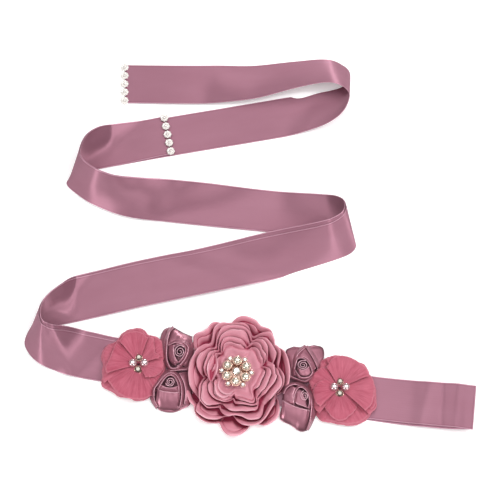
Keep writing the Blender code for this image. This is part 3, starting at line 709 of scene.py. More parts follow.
def folded_petal(start, end, reach, top, rise, seed):
    """A petal folded in toward the brooch: level at first, then up to a rim that curls over."""
    bearing = np.linspace(start, end, int((end - start) / 2.0))
    steps = np.linspace(start, end, len(reach))
    rim = hermite(np.array(reach, float)[:, None], steps, bearing)[:, 0]
    out = np.linspace(0.0, 1.0, 24)
    r = 6.0 + (rim[:, None] - 6.0) * out
    edge = smooth(np.minimum(bearing - start, end - bearing), -4, 20)[:, None]
    z = 11.6 + (top - 11.6) * (smooth(out, rise, 1.0) - 0.15 * smooth(out, 0.94, 1.0)) * edge
    z = z + 0.35 * rough(np.radians(bearing[:, None]) * 4, r / 7.0, seed) * out
    middle = polar_grid(r, bearing, z)
    middle[..., 1] = lean(middle[..., 1], z, RIM_LEVEL)
    # a painted highlight on the curled rim
    return shell(middle, 0.4, 0.35 + 0.65 * smooth(out, 0.7, 1.0))


def middle_disc():
    """The innermost petals. Their edge keeps 2 mm inside the first ring's rim and dips there, and
    shallow creases run out to the ring's tucks."""
    bearing = np.linspace(0, 360, 180, endpoint=False)
    edge = rim_radius("petals_1", bearing) - 2.0
    out = np.linspace(0.0, 1.0, 26)
    r = 2.0 + (edge[:, None] - 2.0) * out
    z = DISC_HEIGHT - 1.1 * np.sin(math.pi * smooth(out, 0.35, 0.85)) + 0.7 * smooth(out, 0.6, 0.9)
    z = z - 2.6 * smooth(out, 0.86, 1.0) + 0.35 * rough(np.radians(bearing)[:, None] * 3, r / 8.0, 2.0)
    for crease in CREASES:
        off = (np.mod(bearing - crease + 180, 360) - 180)[:, None] * np.radians(1) * r
        z = z - 0.9 * np.exp(-off * off / 3.0) * smooth(out, 0.45, 0.8)
    middle = polar_grid(r, bearing, z)
    middle[..., 1] = lean(middle[..., 1], z, RIM_LEVEL)
    # painted shade: the disc's colour deepens toward its edge, where it dips under the first ring
    return shell(middle, 0.4, 0.62 - 0.55 * smooth(out, 0.80, 1.0), closed=True)


def folded_leaf(first, last, width, top, deep):
    """A petal folded up along its length: two rims that meet at both tips, with a trough between
    them. The half width grows and falls with the sine of the way from tip to tip."""
    first, last = np.array(first), np.array(last)
    way = np.linspace(0.0, 1.0, 44)[:, None]
    across = np.linspace(-1.0, 1.0, 19)[None, :]
    beside = unit(np.array([first[1] - last[1], last[0] - first[0]]))
    half = width * np.sin(math.pi * way) ** 0.8 + 0.2
    flat = first + (last - first) * way[..., None] + beside * (half * across)[..., None]
    open_up = np.sin(math.pi * way) ** 0.6
    z = top - 1.6 * (1 - open_up) - deep * open_up * (1 - abs(across) ** 1.6)
    z = z - 0.7 * smooth(abs(across), 0.86, 1.0)
    # painted shade in the trough, and a painted highlight on the rims where the leaf opens
    bright = smooth(abs(across), 0.42, 0.85) * (0.3 + 0.7 * open_up)
    return shell(np.stack([flat[..., 0], lean(flat[..., 1], z, RIM_LEVEL), z], -1), 0.4, bright)


def flower_middle():
    """The disc, the two petals folded in over it and the folded leaf."""
    folded = [folded_petal(*row, seed=3.0 * k) for k, row in enumerate(FOLDED_IN)]
    return [middle_disc()] + folded + [folded_leaf(*FOLDED_LEAF)]


# %% The flower
def first_inner(bearing):
    """Where the innermost ring turns up: 4 mm inside its own rim."""
    return rim_radius("petals_1", bearing) - 4.0


def make_flower():
    """The rings from the inside out. Each one's petals start under the ring inside them, and every
    second petal lies 1.5 mm lower."""
    made = {}
    inner, inner_top = first_inner, 17.0
    for n, (name, (top, tucks, _)) in enumerate(RIMS.items()):
        outer = partial(rim_radius, name)
        groove = max(min(inner_top, top) - STEEPNESS, 1.6)
        sewn = max(9.6 - 1.5 * n, 2.4)
        ends = tucks[1:] + (tucks[0] + 360,)
        made[name] = [petal(a, b, outer, inner, top - 1.5 * (k % 2), groove, sewn, n * 10.0 + k,
                            TURN_UP.get(name, 0.0)) for k, (a, b) in enumerate(zip(tucks, ends))]
        inner, inner_top = outer, top
    made["petals_1"] = flower_middle() + made["petals_1"]
    return made


for name, ring in make_flower().items():
    # ring 3 is two pieces here, and the first of them stands for its node
    replaced = () if name.endswith("b") else (name.rstrip("a"),)
    add_piece("flower_" + name, ring, PETAL, replaced)

# %% [markdown]
# ## The chiffon flowers
#
# Each is three rounds of five gathered petals. At a crease one petal's edge lies over its
# neighbour's, so every round has five creases with a shadow line in each. The two lower rounds
# follow the flower's whole outline. The top one's petals each have their own rim.

# %% Chiffon flowers
# middle (x, y), bearings of the creases, whether each petal's two side edges lie over their
# neighbours, and the outline's radius at every 15 degrees
CHIFFON = {
    "chiffon_left": (
        (-91.0, 11.0), (17, 77, 122, 196, 301), ((1, 0), (1, 1), (0, 1), (0, 0), (1, 0)), (
        25, 25.5, 26.5, 30.5, 31.5, 31, 35.5, 35.5, 33.5, 31.8, 35.5, 35.7,
        32.8, 34.7, 38.5, 35, 34.5, 32.5, 34, 32.5, 28.5, 25, 24.5, 25)),
    "chiffon_right": (
        (92.8, -11.8), (28, 100, 168, 218, 324), ((1, 1), (0, 1), (0, 1), (0, 0), (1, 0)), (
        33, 32, 31.3, 32.5, 30.5, 30.9, 31.5, 32.7, 31.5, 28.8, 28.5, 29.5,
        28, 27.2, 29.2, 32, 34, 32.7, 33.3, 35.5, 37, 37, 37.5, 34.5)),
}
# the petals of the top round: first and last bearing, whether each side edge lies over its
# neighbour, and the rim's radius at five even steps
TOP_ROUND = {
    "chiffon_left": (
        (19, 77, (1, 0), (21, 18, 21.5, 27.5, 27)),
        (77, 124, (1, 1), (27, 29.5, 31, 31, 29)),
        (124, 193, (0, 1), (30, 28, 26.3, 27.5, 31.5)),
        (196, 299, (0, 0), (31, 32, 33.5, 33.5, 31)),
        (303, 376, (1, 0), (17, 20, 22.5, 23, 22))),
    "chiffon_right": (
        (28, 116, (1, 1), (30.5, 29.5, 30.5, 29.5, 24)),
        (116, 170, (0, 0), (21, 24.5, 26, 27.5, 28)),
        (158, 219, (1, 1), (17, 22, 24.5, 25.5, 27)),
        (221, 316, (0, 0), (19.5, 26, 31, 27, 22.5)),
        (-38, 27, (1, 0), (33, 32, 31.5, 31.5, 31))),
}
ROUNDS = (
    # share of the outline, height of the middle, of the belly and of the rim, turn in degrees
    (1.0, 3.0, 7.0, 4.6, 0),
    (0.965, 4.2, 8.0, 5.6, 7),
    (0.92, 6.2, 11.6, 8.8, -3),
)


def chiffon_petal(centre, table, start, end, over, reach, share, middle, belly, top, seed):
    """One gathered petal: low at the beads, swelling to its belly and falling to its rim. An edge
    that lies over its neighbour is raised, and the other kind dips deep. The height goes by the
    share of the flower's own outline, so a petal that reaches less far ends on its belly."""
    lap = 7.0
    count = int((end - start + 2 * lap) / 1.5) + 2
    bearing = np.linspace(start - lap, end + lap, count)
    wave = np.radians(bearing)
    across = (bearing - start) / (end - start)
    whole = round_table([(15 * k, value) for k, value in enumerate(table)], bearing)
    rim = whole * share
    if reach:
        rim = hermite(np.array(reach, float)[:, None], np.linspace(0.0, 1.0, len(reach)),
                      np.clip(across, 0.0, 1.0))[:, 0]
    drawn_in = 1.4 * (1 - smooth(np.minimum(across, 1 - across), -0.08, 0.10))
    rim = rim - drawn_in + 0.35 * rough(wave * 26, 0.0, seed)
    out = np.linspace(0.0, 1.0, 22)
    r = 1.5 + (rim[:, None] - 1.5) * out
    lift = np.interp(r / whole[:, None], (0, 0.3, 0.65, 0.9, 1.0),
                     (middle, middle + 0.55 * (belly - middle), belly, (belly + top) / 2 + 0.3, top))
    lift = lift - 0.7 * smooth(out, 0.9, 1.0)
    lap_lift = np.zeros(count)
    for lies_over, way in zip(over, (across, 1 - across)):
        high, width = (2.2, (-0.1, 0.5)) if lies_over else (-3.2, (-0.06, 0.34))
        lap_lift = lap_lift + high * (1 - smooth(way, *width))
    fold = 0.6 * rough(wave[:, None] * 7, out * 1.2, seed) * out * (1.25 - out)
    crinkle = 0.22 * rough(wave[:, None] * 40, out * 3.0, seed + 2) * out
    z = lift + lap_lift[:, None] * out ** 0.7 + fold + crinkle
    tint = 0.1 * (1 + math.sin(5.3 * seed))
    edge = np.minimum(across - across[0], across[-1] - across)[:, None]
    # painted highlight: the paler colour at the petal's rim and along its side edges
    bright = np.maximum(0.75 * smooth(out, 0.96, 1.0), 0.5 * (1 - smooth(edge, 0.0, 0.03)))
    return shell(polar_grid(r, bearing, z, centre), 0.35, np.maximum(bright, tint))


for name, (centre, creases, laps, table) in CHIFFON.items():
    for k, (share, middle, belly, top, twist) in enumerate(ROUNDS):
        starts = [crease + twist for crease in creases]
        rows = zip(starts, starts[1:] + [starts[0] + 360], laps, [None] * len(laps))
        replaced = (f"{name}_layer_{k + 1}",)
        if k == 2:
            rows, replaced = TOP_ROUND[name], ()
        petals = [chiffon_petal(centre, table, *row, share, middle, belly, top, 3.0 * k + j)
                  for j, row in enumerate(rows)]
        add_piece(f"{name}_round_{k + 1}", petals, GAUZE, replaced)

# %% [markdown]
# ## The rosettes
#
# A ribbon rosette is one strip rolled up tightly at its start and then folded over and wrapped
# round the roll, fold by fold. What shows is a spiral of folded edges and a few broad faces that
# fall away from them. Each face is given by the line of its folded edge and the line of its foot,
# and under them all a skirt of cloth keeps the rosette's outline.

# %% Rosette table
FACE_LEVEL = 6.0                 # the level on which the rosettes' points lie as they are seen
# the roll's middle (x, y), its reach sideways and away, first bearing and height. Then a row for
# each face: the heights of its edge and foot, and the points (x, y) of both lines. Then a seed
ROSETTES = {
    "rosette_far_left": ((-53.2, 24.2, 5.0, 5.8, 40, 14.6), (
        (6, 2, ((-59.5, 46), (-63.5, 42.5), (-66, 36), (-67, 28), (-67, 20), (-66, 13)),
         ((-64, 46.5), (-68.5, 44), (-71.5, 37), (-72, 28), (-71, 20), (-69, 12))),
        (9, 3, ((-46.2, 29), (-45, 22), (-47.5, 15.5), (-51, 10.8)),
         ((-41, 33), (-41, 20), (-42.5, 12), (-45, 6.5))),
        (10, 4, ((-64.5, 31), (-57, 34), (-49.4, 33), (-45.5, 30)),
         ((-60.5, 47), (-56, 44.5), (-50, 41), (-42, 37.5))),
        (11, 4, ((-59.3, 46.7), (-62.5, 43.1), (-64.6, 36.5), (-65.3, 29.9), (-65.5, 22.6), (-65, 16),
                 (-63.5, 11.6), (-61.4, 8.3), (-58.6, 7.5), (-55, 8.6), (-51.5, 11.6), (-48.3, 16)),
         ((-60, 48), (-64.5, 44.5), (-67, 37), (-67.8, 30), (-68, 22), (-67.5, 15),
          (-65.5, 9), (-62, 5.8), (-58, 5), (-53.5, 6), (-49.5, 9.5), (-46, 14))),
        (12.6, 8, ((-63.9, 29.7), (-57.2, 32.7), (-49.4, 32.2), (-46, 29), (-45.5, 26), (-46.5, 21),
                   (-48.9, 16), (-52.5, 11.5), (-56, 9.5)),
         ((-65, 32), (-57.4, 35), (-48, 34), (-44, 30), (-43.2, 26), (-44.3, 20),
          (-46.9, 14.6), (-50.8, 9.6), (-55, 7.4))),
        (13.4, 8, ((-58.6, 30.3), (-58.9, 24.8), (-57.9, 18.9), (-54.7, 13.4)),
         ((-64.3, 30), (-64.3, 23), (-63, 15), (-58.5, 9.8))),
        (14.2, 10, ((-58, 28.5), (-55, 31), (-50.5, 30.3), (-48.1, 27), (-48.3, 22.5), (-50.5, 18),
                    (-54.3, 13.5)),
         ((-59.8, 29.8), (-55.2, 32.6), (-49.6, 32), (-46.5, 27.6), (-46.7, 22), (-49, 16.8),
          (-53.2, 12)))), 11),
    "rosette_near_left": ((-61.6, -4.4, 4.2, 4.4, 200, 14.4), (
        (6, 2, ((-76.5, -15), (-76, -23), (-73, -29)), ((-80.5, -14), (-79.5, -23), (-74.5, -31.5))),
        (8.5, 3, ((-53.5, 3), (-49, -6), (-47.5, -16), (-48.5, -26)),
         ((-44, 5), (-43, -8), (-42, -18), (-43.5, -27))),
        (8.5, 5, ((-67, 0.5), (-62, 5), (-55, 6), (-44.5, 6.5)),
         ((-68, 4), (-61.5, 8), (-54, 8.6), (-44, 9))),
        (11.2, 5, ((-76.3, -19), (-76.1, -11.9), (-73.3, -7.5), (-70.4, -3.1), (-66.9, 0.95),
                   (-63.3, 3.2), (-60.5, 3.5), (-57, 2.1), (-54.1, -1.6), (-52, -6.7),
                   (-50.9, -14.1), (-51.3, -22.1), (-52.7, -29.5)),
         ((-78.3, -19), (-78, -11), (-75.2, -6), (-72.3, -1.6), (-68.3, 2.8), (-64, 5.2),
          (-60.1, 5.6), (-55.8, 3.9), (-52.2, -0.6), (-49.8, -6), (-48.7, -14), (-49, -22.5),
          (-50.6, -30))),
        (12.6, 9, ((-72.8, -12.5), (-69.4, -5.8), (-65.2, -0.2), (-61.5, 1.5), (-58.1, 0),
                   (-55.3, -4.5), (-53.8, -10), (-53.4, -16)),
         ((-74.4, -12), (-71, -5), (-66.4, 1.3), (-61.6, 3.2), (-57, 1.6), (-53.8, -3.6),
          (-52.2, -9.6), (-51.8, -16))),
        (11.6, 2.6, ((-73, -12.6), (-67.6, -14.1), (-62.7, -14.8), (-57.7, -15.2), (-53, -15)),
         ((-75, -28), (-69.5, -31.5), (-62, -32.3), (-57, -32.8), (-52.8, -31.5))),
        (13.2, 10.6, ((-70.4, -8.2), (-65.5, -10.4), (-59.8, -10.8), (-54.1, -9.3)),
         ((-71.8, -12.6), (-66, -14), (-60, -14.6), (-54, -14.4)))), 5),
    "rosette_far_right": ((59.2, 11.4, 5.0, 4.2, 60, 14.4), (
        (6.5, 3, ((60, 27), (55, 22), (52, 15), (51, 7), (50.5, 1)),
         ((51, 28), (44.5, 24.5), (44.3, 15), (45, 6), (46, 0))),
        (6.5, 3, ((63, 28), (67, 20), (71, 12), (73, 6)),
         ((70, 29.4), (77.5, 27), (79, 19.5), (76, 10))),
        (8.8, 5, ((47.6, 0.2), (54.3, -2.7), (60.6, -4.5), (64.9, -2.7), (69.8, 1)),
         ((47, -2.5), (54, -5), (60.8, -6.6), (66, -5), (71, -1.5))),
        (10.4, 6, ((62.4, 28.4), (57.8, 24.4), (54.6, 20.7), (53, 16.3), (52.2, 9.7), (51.5, 5.3),
                   (52.5, 1)),
         ((61.5, 30), (56, 26), (52.5, 21.5), (50.8, 16.5), (50, 9.5), (49.3, 5), (50, -0.5))),
        (10.4, 7, ((62.2, 28.6), (64.9, 24.4), (68.4, 18.5), (71.9, 11.2), (73, 8)),
         ((64.2, 29.4), (67.1, 25), (70.6, 19.2), (74, 12), (75, 8.6))),
        (11, 8.4, ((54, 18), (58.5, 19.2), (63.5, 17), (66.5, 12), (68.5, 5)),
         ((60, 27.6), (62.6, 27), (66, 21), (69.4, 14), (71.5, 8))),
        (13, 8, ((51.5, 6.8), (52.8, 13), (54.6, 17), (58.5, 17.8), (62.7, 15.6), (65.6, 11.2),
                 (67.3, 6.8), (67.7, 3.2), (64.2, -0.5), (57.8, -0.9), (54.3, 2.4), (51.7, 6.6)),
         ((49.6, 6.8), (50.9, 13.6), (53.4, 18.6), (58.8, 19.8), (64, 17.2), (67.4, 12), (69.2, 7),
          (69.7, 2.6), (65, -2.5), (57, -2.8), (52.8, 1), (49.8, 6.2))),
        (13.6, 12, ((54.6, 8), (58.5, 6), (63, 7.6), (65, 10)),
         ((55.4, 2.8), (58.6, 0.6), (63.8, 0.8), (66.6, 4)))), 60),
    "rosette_near_right": ((60.4, -17.8, 3.6, 4.6, 100, 14.2), (
        (7, 3, ((66.5, -22), (67.5, -30), (66.5, -38), (63, -49)),
         ((69, -24), (71.3, -33), (70, -39), (65, -50))),
        (11.2, 6, ((41.3, -16.5), (45.1, -10), (50.1, -7.5), (55.7, -8.2), (60.6, -10.7),
                   (64.9, -15.9), (66.3, -21), (67, -26.1), (66.4, -33), (65.4, -41), (62.6, -50.4)),
         ((39.6, -15.5), (43.8, -8.4), (50, -5.4), (56.4, -6), (62, -8.8), (66.8, -14.8),
          (68.4, -20.6), (69, -26), (68.4, -33), (67.2, -41.6), (64.2, -51))),
        (12, 8, ((50.8, -26.5), (50, -16), (52.5, -10.5)), ((40.6, -23), (42, -15), (48, -8.6))),
        (11.6, 2.4, ((40.4, -22.8), (45.1, -25.4), (49.7, -27.6), (55.7, -29.8), (65, -32)),
         ((39.4, -41), (47.3, -45.3), (52, -48.4), (56.4, -51.2), (62.4, -51.8))),
        (13, 10, ((51.5, -23.5), (51.6, -16.6), (53.6, -12.2), (56, -9.9), (59.6, -10.6),
                  (63, -14.5), (64.6, -19.5), (65, -25), (63.6, -30)),
         ((49.8, -23.5), (49.9, -16), (52.2, -10.9), (55.8, -8), (60.6, -9), (64.6, -13.5),
          (66.2, -19), (66.6, -25.4), (65.2, -31))),
        (13.2, 12.4, ((51.6, -23.6), (55.7, -26.1), (60, -27.6), (63, -29)),
         ((53.5, -13.4), (56, -12), (58.6, -14), (61, -22))),), 100),
}
OUTLINES = {                     # points (x, y) round each rosette
    "rosette_far_left": ((-42.5, 36), (-50, 41), (-58.5, 46.5), (-64.5, 42), (-65.5, 33), (-65.6, 22),
                         (-64.5, 13), (-61, 8.4), (-52, 7.4), (-44.5, 7.4), (-43, 16), (-42.5, 26)),
    "rosette_near_left": ((-44.6, 3.6), (-53, 4.4), (-62, 3.4), (-69, -2), (-74.5, -10),
                          (-76.3, -19), (-74.5, -27), (-71, -31), (-59.5, -33), (-50, -29.5),
                          (-43.5, -25), (-44, -10)),
    "rosette_far_right": ((46.8, 3.2), (46.6, 14), (45.5, 24), (53, 27), (61.5, 30), (70, 28.5),
                          (77, 26.5), (78, 20.4), (70.5, 10), (66.5, 2), (60.5, -3.2), (52, -1.6)),
    "rosette_near_right": ((43.5, -12), (50, -6.4), (57, -6.6), (64.6, -12.6), (67.2, -24),
                           (68.6, -34), (66, -43), (61.5, -50), (56, -50.5), (48, -45),
                           (38.5, -39), (40.5, -26)),
}


# %% Rosette shapes
def line_through(points, count):
    """A smooth line through the points, read at count even steps of its length."""
    points = np.array(points, float)
    at = along(points)
    return hermite(points, at, np.linspace(0.0, at[-1], count))


# the lip inside a folded edge: how far out from the edge and down, its wall and its rim values
LIP = ((-0.95, 6.0), (-0.92, 3.4), (-0.8, 1.4), (-0.42, 0.28), (0.0, 0.0))
LIP_WALL, FACE_WALL = (0.4, 0.4, 0.4, 0.5, 0.8), 0.45
# rim values of the lip: painted shade deep inside it and a painted highlight at the folded edge
LIP_SHADE_AND_HIGHLIGHT = (0.0, 0.0, 0.15, 0.7, 1.0)


def fold_face(top, foot, edge, base, seed):
    """A folded edge and the face that falls from it. Inside the edge a lip turns straight down.
    From the edge to the foot the height falls with the 1.7th power of the distance."""
    count = 64
    edge, base = line_through(edge, count), line_through(base, count)
    out = unit(base - edge)
    s = np.linspace(0.0, 1.0, count)[:, None]
    ends = 1 - 0.12 * (1 - smooth(np.minimum(s, 1 - s), 0.0, 0.12))
    lip_out, lip_down = np.array(LIP).T
    share = np.linspace(0.0, 1.0, 17)[1:]
    flat = np.concatenate([edge[:, None] + out[:, None] * lip_out[:, None],
                           edge[:, None] + (base - edge)[:, None] * share[:, None]], 1)
    high = top * ends + 0.25 * rough(s * 9, 0.0, seed)
    drop = np.concatenate([np.broadcast_to(lip_down, (count, len(LIP))),
                           (high - foot) * share ** 1.7], 1)
    z = high - drop
    z[:, len(LIP):] += 0.35 * rough(s * 7, share * 2.2, seed + 1) * np.sin(share * math.pi)
    middle = np.stack([flat[..., 0], lean(flat[..., 1], z, FACE_LEVEL), z], -1)
    wall = np.concatenate([LIP_WALL, np.full(len(share), FACE_WALL)])
    # painted shade: the face's colour deepens toward its foot, under the next fold
    return shell(middle, wall, np.concatenate([LIP_SHADE_AND_HIGHLIGHT, 0.62 - 0.56 * share ** 2.5]))


# the roll's cloth on edge: height from its fold, and how far out
ROLL = ((-7.0, -0.9), (-3.5, -0.5), (-1.4, -0.2), (-0.45, 0.0), (0.0, 0.15))
# rim values of the roll: painted shade down its wall and a painted highlight at its fold
ROLL_WALL, ROLL_SHADE_AND_HIGHLIGHT = (0.4, 0.4, 0.5, 0.7, 0.75), (0.0, 0.0, 0.05, 0.6, 0.95)
# rim values of the skirt: painted shade toward the middle, under the folds
SKIRT_HEIGHTS, SKIRT_PAINTED_SHADE = (1.9, 2.6, 4.6, 6.2, 7.0), (0.5, 0.5, 0.4, 0.25, 0.1)


def spiral(x, y, across, away, start, top, turns=2.2):
    """The tight roll: a wall on edge that winds in, its rim a thick soft fold, lowest in the
    middle. The radius shrinks evenly with the angle."""
    turn = np.linspace(0.0, turns * 2 * math.pi, int(turns * 30))
    share = turn / turn[-1]
    reach = 1 - 0.86 * share
    spin = math.radians(start) + turn
    down, out = np.array(ROLL).T
    z = (top - 1.8 * share + 0.3 * np.sin(2 * spin))[:, None] + down
    px = x + (across * reach[:, None] + out) * np.cos(spin)[:, None]
    py = lean(y, top, FACE_LEVEL) + (away * reach[:, None] + out) * np.sin(spin)[:, None]
    return shell(np.stack([px, py, z], -1), ROLL_WALL, ROLL_SHADE_AND_HIGHLIGHT)


def skirt(outline, middle):
    """The cloth under the folds, from the rosette's outline up to the foot of the roll."""
    outline = np.array(outline)
    at = along(np.concatenate([outline, outline[:1]]))
    loop = np.concatenate([outline[-2:], outline, outline[:3]])
    loop_at = np.concatenate([at[-3:-1] - at[-1], at[:-1], at[:3] + at[-1]])
    edge = hermite(loop, loop_at, np.linspace(0, at[-1], 73)[:-1])
    share = np.array([0.0, 0.05, 0.3, 0.6, 0.85])
    flat = edge[:, None] + (np.array(middle) - edge)[:, None] * share[:, None]
    z = np.broadcast_to(SKIRT_HEIGHTS, flat.shape[:2])
    y = flat[..., 1] - VIEW_SLOPE * (z - FACE_LEVEL) * smooth(share, 0.0, 0.3)
    return shell(np.stack([flat[..., 0], y, z], -1), 0.5, SKIRT_PAINTED_SHADE, closed=True)


for name, (roll, faces, seed) in ROSETTES.items():
    folds = [skirt(OUTLINES[name], roll[:2])]
    folds += [fold_face(*face, seed=0.7 * k + seed) for k, face in enumerate(faces)]
    add_piece(name + "_folded_satin", folds, ROSE, [name + "_folds"])
    add_piece(name + "_rolled_satin", [spiral(*roll)], ROSE,
                            [name + "_roll"])

# %% [markdown]
# ## Beads, brooch and end stones
#
# Pearls are lacquered round beads. The stones are pressed glass, silvered behind, each in a thin
# cup with claws. The brooch is one cast plate that carries both. All of these are turned, so each
# is a profile carried round a circle, except the stones, whose facets are flat on purpose.

# %% Turned shapes
def turned(profile, place, sides, reach=1.0):
    """A closed body turned about a vertical line: the profile's points (radius, height) run from
    the lower pole to the upper one. reach is a factor on the radius, one for each side or for all."""
    profile = np.array(profile, float)
    angle = np.arange(sides) * 2 * math.pi / sides
    radius = profile[1:-1, 0][:, None] * (reach * np.ones(sides))
    rings = np.stack([radius * np.cos(angle), radius * np.sin(angle),
                      profile[1:-1, 1][:, None] + 0.0 * radius], -1)
    count = len(rings)
    points = np.concatenate([[[0, 0, profile[0, 1]]], rings.reshape(-1, 3), [[0, 0, profile[-1, 1]]]])
    k = np.arange(sides)
    after = (k + 1) % sides
    row = 1 + np.arange(count - 1)[:, None] * sides
    quads = np.stack([row + k, row + after, row + sides + after, row + sides + k], -1).reshape(-1, 4)
    low = np.stack([0 * k, 1 + after, 1 + k], -1)
    last = 1 + (count - 1) * sides
    high = np.stack([0 * k + len(points) - 1, last + k, last + after], -1)
    return from_above(points, place, [quads, low, high])


def from_above(points, place, faces):
    """A body set in its place, with UVs seen from above and a rim value of 0."""
    uv = np.concatenate([points[part.ravel()][:, :2] for part in faces])
    return points + np.array(place), faces, uv, np.zeros(len(points))


def ball(diameter, place, sides=40, rings=20):
    """A bead: a half circle turned about its own diameter."""
    a = np.linspace(-math.pi / 2, math.pi / 2, rings)
    return turned(np.stack([np.cos(a), np.sin(a)], -1) * diameter / 2, place, sides)


def loop_wire(radius, wire, place, sides=40, around=10):
    """A ring of round wire: every point is the ring's circle plus the wire's own circle."""
    i, j = np.meshgrid(np.arange(sides), np.arange(around), indexing="ij")
    a, b = i * 2 * math.pi / sides, j * 2 * math.pi / around
    reach = radius + wire / 2 * np.cos(b)
    points = np.stack([reach * np.cos(a), reach * np.sin(a), wire / 2 * np.sin(b)], -1)
    after_i, after_j = (i + 1) % sides, (j + 1) % around
    quads = np.stack([i * around + j, after_i * around + j, after_i * around + after_j,
                      i * around + after_j], -1).reshape(-1, 4)
    return from_above(points.reshape(-1, 3), place, [quads])


# a stone's rings from its pointed back up: share of the radius, share of the height, and the turn
# in steps of one facet
STONE_RINGS = ((0.55, 0.12, 0), (1.0, 0.42, 0.5), (1.0, 0.50, 0.5), (0.84, 0.78, 0), (0.52, 1.0, 0.5))


def cut_stone(diameter, place, sides=8, height=0.55):
    """A faceted stone: a pointed back, a girdle, two rings of crown facets set half a step apart,
    and a flat table. Rings in step are joined by quads, and rings half a step apart by triangles."""
    k = np.arange(sides)
    after = (k + 1) % sides
    points = [[0.0, 0.0, 0.0]]
    parts = [np.stack([0 * k, 1 + after, 1 + k], -1)]
    for level, (reach, up, step) in enumerate(STONE_RINGS):
        angle = (k + step) * 2 * math.pi / sides
        ring = diameter / 2 * reach * np.stack([np.cos(angle), np.sin(angle)], -1)
        points += np.column_stack([ring, np.full(sides, up * height * diameter)]).tolist()
        if level == 0:
            continue
        a, b = 1 + (level - 1) * sides, 1 + level * sides
        turn = step - STONE_RINGS[level - 1][2]
        if turn == 0:
            parts.append(np.stack([a + k, a + after, b + after, b + k], -1))
        elif turn > 0:
            parts += [np.stack([a + k, a + after, b + k], -1),
                      np.stack([a + after, b + after, b + k], -1)]
        else:
            parts += [np.stack([a + k, b + after, b + k], -1),
                      np.stack([a + k, a + after, b + after], -1)]
    last = 1 + (len(STONE_RINGS) - 1) * sides
    parts.append(np.stack([0 * k + len(points), last + k, last + after], -1))
    points.append([0.0, 0.0, height * diameter * 1.001])
    return from_above(np.array(points), place, parts)


def claws(diameter, place, count, top):
    """Claws round a stone: small round ends on its crown, and the cup's rim below them."""
    x, y, z = place
    reach = 0.46 * diameter
    turn = np.arange(count) * 2 * math.pi / count + 0.4
    ends = [ball(0.9, (x + reach * math.cos(a), y + reach * math.sin(a), z + top), 12, 7)
            for a in turn]
    return ends + [loop_wire(diameter / 2 + 0.1, 0.6, (x, y, z + 0.45 * top), 28, 8)]


# %% Brooch
BROOCH = (-1.2, 1.4)             # its middle (x, y)
PLATE_LOW, PLATE_TOP = 13.3, 14.3
SEAT = PLATE_TOP + 0.3           # where the pearls and the small stones stand
PEARL_SIZE, STONE_SIZE, MIDDLE_SIZE = 7.6, 4.3, 7.6
PEARL_RING, STONE_RING = (10.0, 86.0), (13.6, 115.5)    # radius, and the first one's bearing


def ring_places(radius, first):
    """Six places evenly round the brooch's middle."""
    turn = np.radians(first + np.arange(6) * 60)
    return [(BROOCH[0] + radius * math.cos(a), BROOCH[1] + radius * math.sin(a), SEAT) for a in turn]


pearl_at, stone_at = ring_places(*PEARL_RING), ring_places(*STONE_RING)
middle_at = (*BROOCH, PLATE_TOP + 0.6)
side = np.arange(72) * 2 * math.pi / 72
star = 1 + 0.22 * np.clip(np.cos(6 * (side - math.radians(STONE_RING[1]))), 0, None) ** 1.5
rim_profile = ((0, PLATE_LOW), (11.2, PLATE_LOW), (11.9, PLATE_LOW + 0.5), (11.4, PLATE_TOP),
               (0, PLATE_TOP))
cup_profile = ((0, -0.3), (3.4, -0.3), (4.0, 0.8), (3.9, 1.2), (0, 0.6))
plate = [turned(rim_profile, (*BROOCH, 0.0), 72, star)]
for x, y, z in pearl_at:
    plate += [loop_wire(PEARL_SIZE / 2 + 0.25, 1.0, (x, y, z + 3.4)),
              turned(cup_profile, (x, y, z), 32)]
for place in stone_at:
    plate += claws(STONE_SIZE, place, 4, 2.3)
plate += claws(MIDDLE_SIZE, middle_at, 6, 3.4)
add_piece("brooch_cast_plate", plate, GOLD, ["brooch_setting"])
add_piece("brooch_pearls", [ball(PEARL_SIZE, (x, y, z + PEARL_SIZE / 2)) for x, y, z in pearl_at],
          PEARL, [f"brooch_pearl_{k + 1}" for k in range(6)])
stones = [cut_stone(STONE_SIZE, place) for place in stone_at]
stones.append(cut_stone(MIDDLE_SIZE, middle_at, sides=10, height=0.7))
add_piece("brooch_stones", stones, STONE,
          [f"brooch_stone_{k + 1}" for k in range(6)] + ["brooch_middle_stone"], flat_shaded=True)


# %% Beads of the chiffon flowers
def foot_and_size(node):
    """The middle of a node's foot and its width in millimetres, from its box."""
    low, high = (np.array(corner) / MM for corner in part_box(node))
    return (*(low + high)[:2] / 2, low[2]), high[0] - low[0]


bead_nodes = [f"{flower}_bead_{where}" for flower in CHIFFON for where in ("left", "right")]
gem_nodes = [f"{flower}_bead_{where}" for flower in CHIFFON for where in ("far", "near")]
beads, gems, cups = [], [], []
for (x, y, z), size in map(foot_and_size, bead_nodes):
    beads.append(ball(size, (x, y, z + size / 2)))
for place, size in map(foot_and_size, gem_nodes):
    gems.append(cut_stone(size, place, height=0.6))
    cups += claws(size, place, 4, size * 0.5)
add_piece("chiffon_flower_pearls", beads, BLUSH, bead_nodes)
add_piece("chiffon_flower_stones", gems, SMOKE, gem_nodes, flat_shaded=True)
add_piece("chiffon_flower_claws", cups, GOLD)

# %% End stones
LONG_END_TOP = RIBBON_FLOOR + RIBBON_WALL / 2 + 0.05    # the single layer lies flat there
